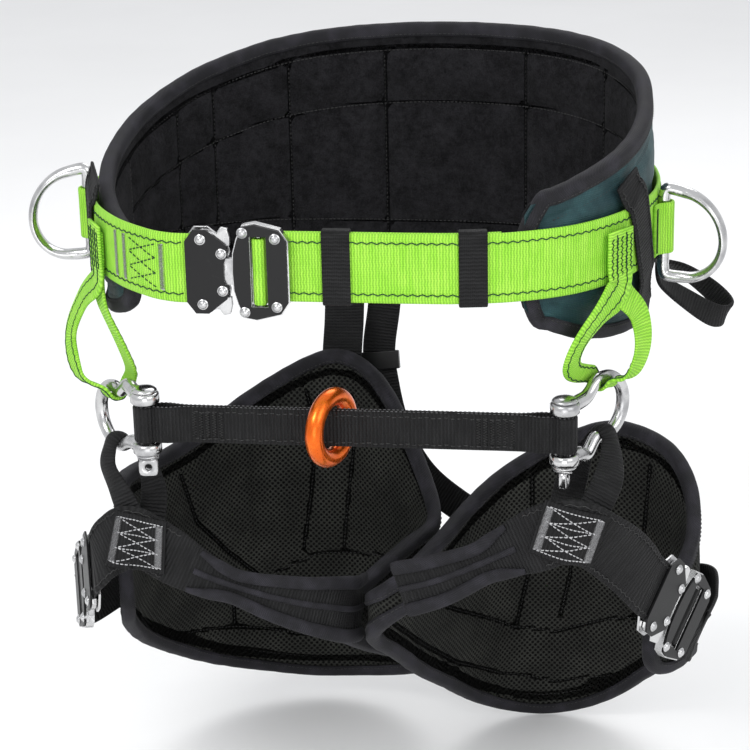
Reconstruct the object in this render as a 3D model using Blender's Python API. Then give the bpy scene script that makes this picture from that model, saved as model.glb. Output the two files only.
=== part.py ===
"""Tree climbing saddle: waist pad, green waist belt, webbing bridge with a sliding ring, and two padded leg loops.

X runs to the wearer's left, Y to the wearer's back and Z up. The origin is the middle of the waist at belt height.
"""

import math

import bmesh
import bpy
import numpy as np
from mathutils import Matrix, Vector, geometry

MM = 0.001
GAP = 0.3

# Webbing
BELT_WIDTH, BELT_THICK = 45.0, 2.8
LEG_WEB_WIDTH, LEG_WEB_THICK = 42.0, 2.4
BRIDGE_HEIGHT, BRIDGE_THICK = 25.0, 6.4

# Pads: distances out from the belt's centreline, or from the middle of a leg pad
WAIST_FACE, WAIST_SHELL, WAIST_PAD = -4.2, 2.0, 11.0
LEG_PAD = 9.4

# Hardware
D_WIRE, D_TALL, D_OUT = 8.0, 66.0, 46.0
SHACKLE_WIRE, SHACKLE_GAP, SHACKLE_PIN = 8.5, 27.0, 9.0
RING_OUTER, RING_SECTION = 53.0, 12.0
BUCKLE_LENGTH, BUCKLE_HEIGHT = 66.0, 60.0
RIVET_RADIUS, RIVET_HEAD = 1.9, 3.0

# Plan of the belt's centreline, from the front right round the back to the front left
BELT_PLAN = [(-57, -136), (-25, -136), (10, -136), (45, -136), (72, -134.5), (106, -127), (142, -107),
             (170, -72), (186, -30), (190, 15), (182, 62), (156, 106), (112, 138), (58, 155), (0, 160),
             (-58, 155), (-112, 138), (-156, 106), (-182, 62), (-190, 15), (-187, -30), (-174, -72),
             (-152, -107), (-126, -132), (-111, -140.2), (-103, -141.7), (-96, -141.7)]

# The waist pad's top and bottom heights: (distance round the belt's centreline from the back's middle, z)
WAIST_TOP = [(-404, -2), (-399, 8), (-375, 17), (-345, 24), (-295, 36), (-250, 47), (-200, 61), (-150, 76),
             (-80, 92), (0, 99), (80, 100), (140, 98), (190, 93), (243, 84), (284, 72), (325, 62), (370, 53),
             (405, 46), (430, 39), (440, 27), (443, 8)]
WAIST_BOTTOM = [(-404, -20), (-399, -34), (-380, -46), (-345, -54), (-270, -62), (-180, -70), (0, -77),
                (180, -72), (270, -68), (345, -63), (395, -55), (422, -45), (438, -32), (443, -14)]

# Leg pads: plan of the middle of the pad with its top and bottom, from the outer side round the back
RIGHT_LEG = [(190, -67, -254, -304), (206, -42, -246, -314), (219, -8, -226, -318), (216, 30, -201, -338),
             (197, 60, -184, -366), (160, 80, -179, -402), (118, 86, -196, -418), (82, 76, -216, -412),
             (58, 50, -232, -392), (42, 15, -242, -364), (27, -18, -249, -338), (14, -52, -251, -308),
             (4, -84, -246, -282), (14, -106, -230, -260), (40, -113, -210, -238), (66, -117, -197, -224)]
LEFT_LEG = [(-168, -80, -190, -270), (-174, -55, -180, -292), (-175, -15, -186, -322), (-165, 25, -192, -350),
            (-143, 62, -186, -376), (-110, 90, -166, -394), (-68, 103, -143, -403), (-38, 104, -138, -402),
            (-8, 95, -160, -396), (20, 74, -212, -382), (32, 46, -242, -364), (18, 12, -247, -342),
            (4, -20, -250, -322), (-9, -52, -252, -302), (-20, -80, -245, -282), (-36, -99, -228, -262)]

# Buckles: middle of the parting line at the back plate, axis from female to male, and the outward face
WAIST_BUCKLE = ((-67.5, -138.0, -1.5), (1.0, 0.0, 0.0), (0.0, -1.0, 0.0))
RIGHT_BUCKLE = ((204.5, -78.0, -250.0), (0.40, 0.62, -0.67), (0.83, -0.55, -0.02))
LEFT_BUCKLE = ((-193.5, -75.0, -246.5), (-0.36, 0.70, -0.62), (-0.93, -0.34, 0.05))

# Shackles: middle of the upright pin, and middle of the round of the bow
PIN = {"left": (-139.0, -112.0, -115.0), "right": (135.0, -112.0, -115.0)}
BOW = {"left": (-166.0, -84.0, -121.0), "right": (158.0, -82.0, -107.0)}
BOW_RADIUS = 20.5


def clear_scene():
    for obj in list(bpy.data.objects):
        bpy.data.objects.remove(obj)


def material(name, colour, metallic, roughness):
    mat = bpy.data.materials.new(name)
    mat.use_nodes = True
    bsdf = mat.node_tree.nodes["Principled BSDF"]
    bsdf.inputs["Base Color"].default_value = (*colour, 1.0)
    bsdf.inputs["Metallic"].default_value = metallic
    bsdf.inputs["Roughness"].default_value = roughness
    return mat


def build(name, points, faces, mat, smooth=False):
    """One closed mesh object from points in millimetres."""
    mesh = bpy.data.meshes.new(name)
    mesh.from_pydata([tuple(float(c) * MM for c in p) for p in points], [], [tuple(f) for f in faces])
    work = bmesh.new()
    work.from_mesh(mesh)
    bmesh.ops.remove_doubles(work, verts=work.verts, dist=1e-6)
    bmesh.ops.recalc_face_normals(work, faces=work.faces)
    if work.calc_volume(signed=True) < 0:
        bmesh.ops.reverse_faces(work, faces=work.faces)
    for face in work.faces:
        face.smooth = smooth
    work.to_mesh(mesh)
    work.free()
    mesh.materials.append(mat)
    obj = bpy.data.objects.new(name, mesh)
    bpy.context.scene.collection.objects.link(obj)
    return obj


def set_origin(obj, point):
    """Moves an object's origin to a point in millimetres without moving its mesh in the world."""
    offset = Vector([c * MM for c in point])
    obj.data.transform(Matrix.Translation(-offset))
    obj.location = offset


def unit(v):
    v = np.asarray(v, float)
    return v / np.linalg.norm(v, axis=-1, keepdims=True)


def spline(points, count, closed=False):
    """Evenly spaced points on a Catmull-Rom curve through the given points."""
    p = np.asarray(points, float)
    ends = (p[-1:], p[:2]) if closed else (2 * p[:1] - p[1:2], 2 * p[-1:] - p[-2:-1])
    p = np.concatenate([ends[0], p, ends[1]])
    t = np.linspace(0, 1, 24, endpoint=False)[:, None]
    parts = []
    for a, b, c, d in zip(p[:-3], p[1:-2], p[2:-1], p[3:], strict=True):
        parts.append(0.5 * (2 * b + (c - a) * t + (2 * a - 5 * b + 4 * c - d) * t**2
                            + (3 * b - a - 3 * c + d) * t**3))
    dense = np.concatenate([*parts, p[-2:-1] if not closed else parts[0][:1]])
    run = np.concatenate([[0], np.cumsum(np.linalg.norm(np.diff(dense, axis=0), axis=1))])
    at = np.linspace(0, run[-1], count, endpoint=not closed)
    return np.stack([np.interp(at, run, dense[:, i]) for i in range(dense.shape[1])], axis=1)


def tangents(points, closed=False):
    if closed:
        return unit(np.roll(points, -1, axis=0) - np.roll(points, 1, axis=0))
    return unit(np.gradient(points, axis=0))


def loft(name, sections, mat, closed=False, smooth=False):
    """Joins equal cross-sections, each a ring of points, and caps the two ends."""
    rings, size = len(sections), len(sections[0])
    points = np.concatenate([np.asarray(s, float) for s in sections])
    faces = []
    for i in range(rings if closed else rings - 1):
        a, b = i * size, (i + 1) % rings * size
        for j in range(size):
            k = (j + 1) % size
            faces.append((a + j, a + k, b + k, b + j))
    if not closed:
        faces += [tuple(range(size))[::-1], tuple((rings - 1) * size + j for j in range(size))]
    return build(name, points, faces, mat, smooth)


def ribbon(name, path, across, width, thick, mat, closed=False):
    """Flat webbing along a path, with its width along the across vectors."""
    path = np.asarray(path, float)
    run = tangents(path, closed)
    across = np.broadcast_to(np.asarray(across, float), path.shape)
    normal = unit(np.cross(run, across))
    across = unit(np.cross(normal, run))
    half = np.broadcast_to(np.asarray(width, float), len(path)) / 2
    sections = []
    for p, a, n, w in zip(path, across, normal, half, strict=True):
        edge, t = min(1.0, w / 3), thick / 2
        corners = [(-w, 0), (-w + edge, t), (w - edge, t), (w, 0), (w - edge, -t), (-w + edge, -t)]
        sections.append([p + a * x + n * y for x, y in corners])
    return loft(name, sections, mat, closed)


def tube(name, path, radius, mat, sides=10, closed=False, flat=None, wide=None):
    """A round bar along a path, or an oval one where radius and wide differ."""
    path = np.asarray(path, float)
    run = tangents(path, closed)
    up = np.broadcast_to(np.asarray(flat if flat is not None else (0, 0, 1), float), path.shape)
    side = unit(np.cross(run, up))
    up = unit(np.cross(side, run))
    radius = np.broadcast_to(np.asarray(radius, float), len(path))
    wide = radius if wide is None else np.broadcast_to(np.asarray(wide, float), len(path))
    turn = np.linspace(0, 2 * math.pi, sides, endpoint=False)
    sections = [
        [p + s * math.cos(a) * r + u * math.sin(a) * w for a in turn]
        for p, s, u, r, w in zip(path, side, up, radius, wide, strict=True)
    ]
    return loft(name, sections, mat, closed, smooth=True)


def circle(centre, radius, count):
    turn = np.linspace(0, 2 * math.pi, count, endpoint=False)
    return [(centre[0] + radius * math.cos(a), centre[1] + radius * math.sin(a)) for a in turn]


def inside(point, outline):
    """Whether a flat point lies within an outline."""
    found = False
    for (ax, ay), (bx, by) in zip(outline, outline[1:] + outline[:1], strict=True):
        if (ay > point[1]) != (by > point[1]) and point[0] < (bx - ax) * (point[1] - ay) / (by - ay) + ax:
            found = not found
    return found


def plate(name, outline, holes, low, high, frame, mat):
    """A flat plate with holes, from height low to high, placed by a 4x4 frame in millimetres."""
    loops = [list(outline), *[list(h) for h in holes]]
    flat, edges = [], []
    for loop in loops:
        first = len(flat)
        flat += [Vector(p) for p in loop]
        edges += [(first + i, first + (i + 1) % len(loop)) for i in range(len(loop))]
    made = geometry.delaunay_2d_cdt(flat, edges, [], 1, 1e-5)
    points, faces = made[0], made[2]
    kept = []
    for face in faces:
        middle = sum((points[i] for i in face), Vector((0, 0))) / len(face)
        if inside(middle, loops[0]) and not any(inside(middle, hole) for hole in loops[1:]):
            kept.append(tuple(face))
    count = {}
    for face in kept:
        for a, b in zip(face, face[1:] + face[:1], strict=True):
            count[(a, b)] = count.get((a, b), 0) + 1
    rim = [(a, b) for a, b in count if (b, a) not in count]
    size = len(points)
    solid = [frame @ Vector((p.x, p.y, z)) for z in (low, high) for p in points]
    sides = [face[::-1] for face in kept] + [tuple(i + size for i in face) for face in kept]
    sides += [(a, b, b + size, a + size) for a, b in rim]
    return build(name, solid, sides, mat)


def union(obj, others):
    """Adds the other solids to this one and takes the helpers away."""
    for other in others:
        modifier = obj.modifiers.new("join", "BOOLEAN")
        modifier.operation, modifier.solver, modifier.object = "UNION", "EXACT", other
    graph = bpy.context.evaluated_depsgraph_get()
    mesh = bpy.data.meshes.new_from_object(obj.evaluated_get(graph))
    obj.modifiers.clear()
    obj.data = mesh
    for other in others:
        bpy.data.objects.remove(other)
    return obj


class Plan:
    """A curve seen from above, measured from one point on it, with its outward side."""

    def __init__(self, points, zero, outward):
        self.line = spline(points, 600)
        run = np.concatenate([[0], np.cumsum(np.linalg.norm(np.diff(self.line[:, :2], axis=0), axis=1))])
        self.run = run - run[zero(self.line)]
        way = tangents(self.line[:, :2])
        self.out = np.stack([way[:, 1], -way[:, 0]], axis=1) * outward

    def at(self, s, offset=0.0, z=0.0):
        """Points at distances s along the curve, moved outward, at heights z."""
        s = np.atleast_1d(np.asarray(s, float))
        flat = np.stack([np.interp(s, self.run, self.line[:, i]) for i in (0, 1)], axis=1)
        normal = self.normal(s)[:, :2]
        step = self.line[1, :2] - self.line[0, :2]
        turn = np.sign(step[0] * self.out[0, 1] - step[1] * self.out[0, 0]) * np.sign(self.run[1] - self.run[0])
        past = s - np.clip(s, self.run.min(), self.run.max())
        flat = flat + np.stack([normal[:, 1], -normal[:, 0]], axis=1) * (turn * past)[:, None]
        flat = flat + normal * np.reshape(offset, (-1, 1))
        return np.column_stack([flat, np.broadcast_to(z, len(s))])

    def normal(self, s):
        s = np.atleast_1d(np.asarray(s, float))
        out = np.stack([np.interp(s, self.run, self.out[:, i]) for i in (0, 1)], axis=1)
        return np.column_stack([unit(out), np.zeros(len(s))])

    def column(self, s, i):
        return np.interp(s, self.run, self.line[:, i])


def pad_sheet(name, plan, s, low, high, inner, outer, mat, rows=4):
    """A padded sheet that stands on the plan curve, between two offsets from it."""
    sections = []
    for k, at in enumerate(s):
        near, far = plan.at([at] * rows, inner), plan.at([at] * rows, outer)
        z = np.linspace(low[k], high[k], rows)
        near[:, 2], far[:, 2] = z, z
        sections.append(np.concatenate([near, far[::-1]]))
    return loft(name, sections, mat)


def binding(name, plan, outline, inner, outer, mat):
    """Binding tape folded over a pad's edge. The outline is a closed loop of (s, z)."""
    outline = np.asarray(outline, float)
    way = tangents(outline, closed=True)
    turn = 0.5 * np.sum(outline[:, 0] * np.roll(outline[:, 1], -1) - np.roll(outline[:, 0], -1) * outline[:, 1])
    out = np.stack([way[:, 1], -way[:, 0]], axis=1) * (1 if turn > 0 else -1)
    slot, wall, lap, lip = 0.4, 1.3, 7.0, 1.0
    a, b = inner - slot, outer + slot
    profile = [(-lap, b), (lip, b), (lip, a), (-lap, a), (-lap, a - wall), (lip, a - wall),
               (lip + wall, a), (lip + wall, b), (lip, b + wall), (-lap, b + wall)]
    sections = []
    for p, e in zip(outline, out, strict=True):
        spots = np.array([[p[0] + e[0] * x, p[1] + e[1] * x, d] for x, d in profile])
        ring = plan.at(spots[:, 0], spots[:, 2])
        ring[:, 2] = spots[:, 1]
        sections.append(ring)
    return loft(name, sections, mat, closed=True)


def edge_loop(s, low, high):
    """The outline of a pad as (s, z), along its top and back along its bottom."""
    return np.concatenate([np.column_stack([s, high]), np.column_stack([s, low])[::-1]])


# --- materials -------------------------------------------------------------------------------------

clear_scene()
SHELL = material("teal shell fabric", (0.03, 0.09, 0.10), 0.0, 0.8)
LINING = material("black fleece lining", (0.012, 0.012, 0.013), 0.0, 0.95)
MESH_CLOTH = material("black spacer mesh", (0.015, 0.016, 0.014), 0.0, 0.9)
BINDING = material("charcoal binding tape", (0.035, 0.035, 0.042), 0.0, 0.8)
GREEN_WEB = material("lime green webbing", (0.28, 0.62, 0.06), 0.0, 0.6)
BLACK_WEB = material("black webbing", (0.012, 0.012, 0.012), 0.0, 0.6)
STEEL = material("polished alloy", (0.75, 0.75, 0.76), 1.0, 0.2)
ORANGE = material("orange anodised alloy", (0.85, 0.22, 0.02), 0.9, 0.28)
BLACK_PLATE = material("black anodised plate", (0.015, 0.015, 0.016), 0.6, 0.45)

# --- waist pad -------------------------------------------------------------------------------------

def round_waist(table, s):
    at, z = np.array(table, float).T
    dense = spline(np.column_stack([at, z]), 300)
    return np.interp(s, dense[:, 0], dense[:, 1])


class Waist(Plan):
    """The belt's plan, measured from the middle of the back, positive towards +X."""

    def __init__(self):
        super().__init__(BELT_PLAN, lambda line: int(np.argmax(line[:, 1])), 1)
        self.line, self.out, self.run = self.line[::-1], self.out[::-1], -self.run[::-1]


waist = Waist()
pad_s = np.concatenate([[-404, -402.5, -399, -392], np.linspace(-382, 425, 30), [434, 439, 442, 443]])
pad_low, pad_high = round_waist(WAIST_BOTTOM, pad_s), round_waist(WAIST_TOP, pad_s)
face = WAIST_FACE
pad_sheet("waist_pad_shell", waist, pad_s, pad_low, pad_high, face - WAIST_SHELL, face, SHELL)
pad_sheet("waist_pad_lining", waist, pad_s, pad_low, pad_high, face - WAIST_PAD,
          face - WAIST_SHELL - GAP, LINING)
binding("waist_pad_binding", waist, edge_loop(pad_s, pad_low, pad_high), face - WAIST_PAD, face, BINDING)

# --- belt, its tail and keepers --------------------------------------------------------------------

UP = (0.0, 0.0, 1.0)
belt_s = np.linspace(waist.run[0], waist.run[-1], 60)
ribbon("waist_belt", waist.at(belt_s), UP, BELT_WIDTH, BELT_THICK, GREEN_WEB)
TAIL_THICK = 2.2
tail_offset = -(BELT_THICK + TAIL_THICK) / 2 - 0.5
TAIL_END, KEEPERS = 456.0, {"inner": 559.0, "outer": 474.0}
tail_s = [TAIL_END, *belt_s[(belt_s > TAIL_END + 3) & (belt_s < 598)], 600.0]
ribbon("waist_belt_tail", waist.at(tail_s, tail_offset), UP, BELT_WIDTH, TAIL_THICK, GREEN_WEB)


def rounded_box(half_x, half_y, radius, steps=3):
    """A rectangle with round corners, as points about its middle."""
    spots = []
    for corner, (sx, sy) in enumerate([(1, 1), (-1, 1), (-1, -1), (1, -1)]):
        for i in range(steps + 1):
            turn = math.pi / 2 * (corner + i / steps)
            spots.append((sx * (half_x - radius) + radius * math.cos(turn),
                          sy * (half_y - radius) + radius * math.sin(turn)))
    return spots


def keeper(name, s, width, wall=1.7):
    """A band round both layers of the belt."""
    outer, inner = BELT_THICK / 2 + GAP, tail_offset - TAIL_THICK / 2 - GAP
    centre = waist.at(s, (outer + inner) / 2)[0]
    out = waist.normal(s)[0]
    along = np.cross(out, UP)
    loop = rounded_box((outer - inner) / 2 + wall / 2, BELT_WIDTH / 2 + GAP + wall / 2, 1.6)
    path = [centre + out * x + np.array(UP) * y for x, y in loop]
    ribbon(name, path, along, width, wall, BLACK_WEB, closed=True)


keeper("belt_keeper_inner", KEEPERS["inner"], 18.0)
keeper("belt_keeper_outer", KEEPERS["outer"], 18.0)

# --- straps that hold the belt on the pad ----------------------------------------------------------

OVER_BELT = BELT_THICK / 2 + GAP + 1.1


def waist_path(spots, count):
    """A path beside the waist through (s, offset, z) spots."""
    spots = spline(spots, count)
    path = waist.at(spots[:, 0], spots[:, 1])
    path[:, 2] = spots[:, 2]
    return path


for side, sign in (("left", -1), ("right", 1)):
    spots = [(356, -1.0, 42), (352, 0.6, 33), (347, OVER_BELT, 26), (341, OVER_BELT, 10), (336, OVER_BELT, -8),
             (331, OVER_BELT, -25), (328, 0.6, -33), (325, -0.8, -42), (322, -0.8, -52)]
    spots = [(sign * s, d, z) for s, d, z in spots]
    path = waist_path(spots, 18)
    across = np.cross(tangents(path), waist.normal([p[0] for p in spline(spots, 18)]))
    ribbon(f"{side}_pad_strap", path, across, 26.0, 2.0, BLACK_WEB)

# --- D-rings and the loops that hold them ----------------------------------------------------------

BAR_OFFSET = BELT_THICK / 2 + GAP + D_WIRE / 2
D_SPOTS = {"left": (-298.0, 2.0), "right": (298.0, -7.0)}
DROOP = 6.0
RISER_WEB = 2.2


def d_ring(side):
    """A D with a round bar and a broad, flatter bow, standing out from the belt."""
    s, z = D_SPOTS[side]
    centre = waist.at(s, BAR_OFFSET, z)[0]
    out = waist.normal(s)[0]
    half = (D_TALL - D_WIRE) / 2
    reach = D_OUT - D_WIRE / 2 - 3
    bow = [(0.0, -half + 4), (2.5, -half - 0.5)]
    for turn in np.linspace(-66, 66, 11):
        a = math.radians(turn)
        bow.append((reach - 23 + 23 * math.cos(a), half * math.sin(a) / math.sin(math.radians(66)) * 1.0))
    bow += [(2.5, half + 0.5), (0.0, half - 4)]
    bar = [(0.0, v) for v in np.linspace(half - 12, -half + 12, 3)]
    flat = np.array(bow + bar)
    path = np.array([centre + out * u + np.array(UP) * (v - DROOP * max(0, u) / reach) for u, v in flat])
    broad = np.interp(flat[:, 0], [0, 12, 30], [D_WIRE / 2, D_WIRE / 2, 6.2])
    thin = np.interp(flat[:, 0], [0, 12, 30], [D_WIRE / 2, D_WIRE / 2, 3.0])
    normal = np.cross(out, UP)
    ring = tube(f"{side}_d_ring", path, thin, STEEL, 10, True, normal, broad)
    set_origin(ring, centre)
    wrap = []
    sweep = D_WIRE / 2 + 0.5 + RISER_WEB / 2
    for ds, d in [(-17.5, OVER_BELT), (-12, OVER_BELT), (-8.5, OVER_BELT + 1.2)]:
        wrap.append((s + ds, d, z / 2))
    for turn in np.linspace(-68, 68, 7):
        a = math.radians(turn)
        wrap.append((s + sweep * math.sin(a), BAR_OFFSET + sweep * math.cos(a), z / 2))
    for ds, d in [(8.5, OVER_BELT + 1.2), (12, OVER_BELT), (17.5, OVER_BELT)]:
        wrap.append((s + ds, d, z / 2))
    ribbon(f"{side}_d_ring_loop", waist_path(wrap, 24), UP, 35.0, RISER_WEB, GREEN_WEB)


for side in D_SPOTS:
    d_ring(side)

# --- green risers ----------------------------------------------------------------------------------

RISER_S = 369.0
RISER_PATHS = {
    "right": ([(158, -101, -36), (144, -110, -55), (139, -100, -76)],
              [(176, -84, -84), (183, -80, -66), (180, -77, -44)]),
    "left": ([(-187, -72, -42), (-199, -68, -70), (-190, -84, -92)],
             [(-154, -84, -90), (-158, -92, -68), (-169, -89, -44)]),
}


def bow_way(side):
    """Level directions along a bow, away from its pin, and across it towards the front."""
    out = unit(np.array([BOW[side][0] - PIN[side][0], BOW[side][1] - PIN[side][1], 0.0]))
    across = np.cross(out, UP)
    return out, across if across[1] < 0 else -across


def loop_round(side, up, clear, count=9):
    """An arc of webbing round a bow's wire: under it for the upper arm, over it for the lower."""
    _, front = bow_way(side)
    wire = np.array(BOW[side]) + np.array(UP) * BOW_RADIUS * up
    reach = SHACKLE_WIRE / 2 + clear
    return [wire - front * reach * math.cos(a) - np.array(UP) * reach * up * math.sin(a)
            for a in np.linspace(0.0, math.pi, count)]


def riser(side, sign):
    """Webbing sewn to the belt at both ends, hanging in a loop that holds the shackle."""
    first, last = (list(map(np.array, part)) for part in RISER_PATHS[side])
    foot = loop_round(side, 1, GAP + 2.1 + RISER_WEB / 2)
    if side == "left":
        foot = foot[::-1]
    over = OVER_BELT + RISER_WEB + 0.5
    top = [waist.at(sign * (RISER_S + 3), over, z)[0] for z in (13, -2, -14, -25)]
    tail = [waist.at(sign * (RISER_S - 1), OVER_BELT + d, z)[0] for d, z in ((0.9, -29), (0.3, -17), (0, 8))]
    out, _ = bow_way(side)
    down, rise = spline([*top, *first, foot[0]], 17)[:-1], spline([foot[-1], *last, *tail], 17)[1:]
    path = np.concatenate([down, foot, rise])
    along = np.cross(waist.normal(sign * RISER_S)[0], UP)
    along = along if along @ out > 0 else -along
    middle = 0.5 * (len(path) - 1)
    away = np.abs(np.arange(len(path)) - middle)
    width = np.interp(away, [0, 4, 9, 12, 20], [13, 13, 24, 26, 26])
    across = np.array([unit(along * (1 - t) + out * t) for t in np.interp(away, [5, 13], [1, 0])])
    return path, across, width


for side, sign in (("left", -1), ("right", 1)):
    path, across, width = riser(side, sign)
    ribbon(f"{side}_riser_loop", path, across, width, RISER_WEB, GREEN_WEB)

# --- shackles, pins and bridge ---------------------------------------------------------------------

EAR = 8.0


def lathe(profile, centre, mat, name="turned", sides=12, axis=(0, 0, 1), flat=(1, 0, 0)):
    """A turned solid from a profile of (radius, height) that starts and ends on the axis."""
    axis, flat = unit(axis), unit(flat)
    other = np.cross(axis, flat)
    points, faces = [], []
    inner = profile[1:-1]
    points.append(np.array(centre) + axis * profile[0][1])
    for radius, height in inner:
        for a in np.linspace(0, 2 * math.pi, sides, endpoint=False):
            spot = np.array(centre) + axis * height
            points.append(spot + (flat * math.cos(a) + other * math.sin(a)) * radius)
    points.append(np.array(centre) + axis * profile[-1][1])
    last = len(points) - 1
    for j in range(sides):
        k = (j + 1) % sides
        faces.append((0, 1 + k, 1 + j))
        for i in range(len(inner) - 1):
            a, b = 1 + i * sides, 1 + (i + 1) * sides
            faces.append((a + j, a + k, b + k, b + j))
        top = 1 + (len(inner) - 1) * sides
        faces.append((top + j, top + k, last))
    return build(name, points, faces, mat, True)


def shackle(side):
    """A bow shackle whose pin stands upright through the bridge's eye."""
    pin, bow = np.array(PIN[side]), np.array(BOW[side])
    out, _ = bow_way(side)
    reach = float(np.hypot(*(bow - pin)[:2]))
    ear_z = SHACKLE_GAP / 2 + EAR / 2
    rise = bow[2] - pin[2]
    half = [(6.0, ear_z), (14.0, ear_z + 0.5), (22.0, ear_z + 2.5)]
    arc = [(reach + BOW_RADIUS * math.cos(a), rise + BOW_RADIUS * math.sin(a))
           for a in np.radians(np.linspace(110, -110, 12))]
    flat = half + arc + [(x, -z) for x, z in reversed(half)]
    path = spline([pin + out * x + np.array(UP) * z for x, z in flat], 22)
    normal = np.cross(out, UP)
    body = tube(f"{side}_shackle_bow", path, SHACKLE_WIRE / 2, STEEL, 8, False, normal)
    ears = []
    for z in (ear_z, -ear_z):
        base = Matrix.Translation(Vector(pin + np.array(UP) * (z - EAR / 2)))
        ears.append(plate("ear", circle((0, 0), 9.5, 16), [circle((0, 0), SHACKLE_PIN / 2 + GAP, 12)], 0, EAR,
                          base, STEEL))
    union(body, ears)
    top, low = ear_z + EAR / 2 + GAP, -ear_z - EAR / 2 - GAP
    r = SHACKLE_PIN / 2
    profile = [(0, low - 4), (r - 0.8, low - 4), (r, low - 3.2), (r, top), (8.2, top), (8.6, top + 1.2),
               (8.0, top + 2.6), (5.2, top + 3.2), (4.6, top + 2.4), (0, top + 2.4)]
    body_pin = lathe(profile, pin, STEEL, f"{side}_shackle_pin", 12)
    turned = Matrix.Rotation(math.radians(8 if side == "left" else 78), 4, "Z") @ Matrix.Rotation(math.pi / 2, 4, "X")
    place = Matrix.Translation(Vector(pin + np.array(UP) * (low - 9.5))) @ turned
    tab = plate("tab", [(-6, 7.5), (-6, -4), (-3.5, -6.5), (3.5, -6.5), (6, -4), (6, 7.5)],
                [circle((0, -1.0), 2.2, 10)], -2.6, 2.6, place, STEEL)
    union(body_pin, [tab])


for side in PIN:
    shackle(side)

EYE, EYE_HOLE = 8.6, SHACKLE_PIN / 2 + GAP + 0.2
BRIDGE_MIDDLE = (PIN["left"][0] + PIN["right"][0]) / 2
BRIDGE_HALF = PIN["right"][0] - BRIDGE_MIDDLE
PIN_Y, PIN_Z = PIN["right"][1:]


def bridge_end(sign):
    """Half of the bridge's plan: round at the pin, then drawing in to the doubled webbing."""
    spots = [(-36, -BRIDGE_THICK / 2), (-25, -3.6), (-15, -6.0)]
    spots += [(EYE * math.cos(a), EYE * math.sin(a)) for a in np.radians(np.linspace(-148, 148, 13))]
    spots += [(-15, 6.0), (-25, 3.6), (-36, BRIDGE_THICK / 2)]
    return [(sign * (BRIDGE_HALF + x), sign * y) for x, y in spots]


def eye(sign):
    """The hole at the bridge's end, pointed where its layers meet."""
    spots = [(EYE_HOLE * math.cos(a), EYE_HOLE * math.sin(a)) for a in np.radians(np.linspace(-125, 125, 12))]
    spots += [(-12, 2.6), (-22, 0.0), (-12, -2.6)]
    return [(sign * (BRIDGE_HALF + x), sign * y) for x, y in spots]


bridge_outline = bridge_end(1) + bridge_end(-1)
place = Matrix.Translation(Vector((BRIDGE_MIDDLE, PIN_Y, PIN_Z - BRIDGE_HEIGHT / 2)))
plate("bridge_webbing", bridge_outline, [eye(1), eye(-1)], 0, BRIDGE_HEIGHT, place, BLACK_WEB)

RING_X, RING_TURN = -16.0, math.radians(-24)
ring_centre = np.array([RING_X, PIN_Y, PIN_Z])
ring_line = (RING_OUTER - RING_SECTION) / 2
level = np.array([math.sin(-RING_TURN), math.cos(RING_TURN), 0.0])
ring_path = [ring_centre + level * ring_line * math.cos(a) + np.array(UP) * ring_line * math.sin(a)
             for a in np.linspace(0, 2 * math.pi, 24, endpoint=False)]
ring_normal = np.cross(level, UP)
set_origin(tube("bridge_ring", ring_path, RING_SECTION / 2, ORANGE, 10, True, ring_normal), ring_centre)

# --- quick-release buckles -------------------------------------------------------------------------

BACK, CORE_TOP, FRONT_LOW, FRONT_TOP = 1.6, 5.6, 5.9, 7.3
FEMALE = [(-33, -20), (-27, -28), (-18, -28), (-5.5, -18), (-4.5, -12), (-7, -5), (-7, 5), (-4.5, 12), (-5.5, 18),
          (-18, 28), (-27, 28), (-33, 20)]
MALE = [(0, -21), (4, -30), (12, -31.5), (28, -27.5), (33, -20), (33, 20), (28, 27.5), (12, 31.5), (4, 30), (0, 21),
        (-2.5, 12), (-3.0, 0), (-2.5, -12)]
FEMALE_RIVETS = [(-22, 21), (-22, -21), (-9.0, 12), (-9.0, -12)]
MALE_RIVETS = [(4.6, 25.6), (4.6, -25.6), (25, 22), (25, -22)]
SLOT = [(9, -22.6), (19, -22.6), (19, 22.6), (9, 22.6)]
LEVER = [(-27, 21), (-25.6, 17.4), (-22, 15.9), (-12.5, 15.6), (-3.9, 16.6), (-3.6, 22), (-5, 27.5), (-9.5, 28.5),
         (-12, 24.5), (-18, 25.6), (-22, 26), (-25.6, 24.6)]
LEVER_PIVOT = (-22.0, 21.0)


def inset(outline, by):
    """The outline pulled in by a distance on every side."""
    p = np.asarray(outline, float)
    before, after = unit(p - np.roll(p, 1, axis=0)), unit(np.roll(p, -1, axis=0) - p)
    n1, n2 = np.stack([-before[:, 1], before[:, 0]], 1), np.stack([-after[:, 1], after[:, 0]], 1)
    middle = unit(n1 + n2)
    area = np.sum(p[:, 0] * np.roll(p[:, 1], -1) - np.roll(p[:, 0], -1) * p[:, 1])
    step = by / np.maximum(0.5, np.sum(middle * n1, axis=1))[:, None]
    return [tuple(q) for q in p + middle * step * (1 if area > 0 else -1)]


def frame_of(spec):
    """The 4x4 frame of a buckle: x from female to male, z out of its face."""
    centre, axis, out = (np.array(v) for v in spec)
    x = unit(axis)
    z = unit(out - x * np.dot(out, x))
    y = np.cross(z, x)
    place = np.eye(4)
    place[:3, 0], place[:3, 1], place[:3, 2], place[:3, 3] = x, y, z, centre
    return Matrix(place.tolist())


def local(frame, x, y, z):
    return np.array(frame @ Vector((x, y, z)))


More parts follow.
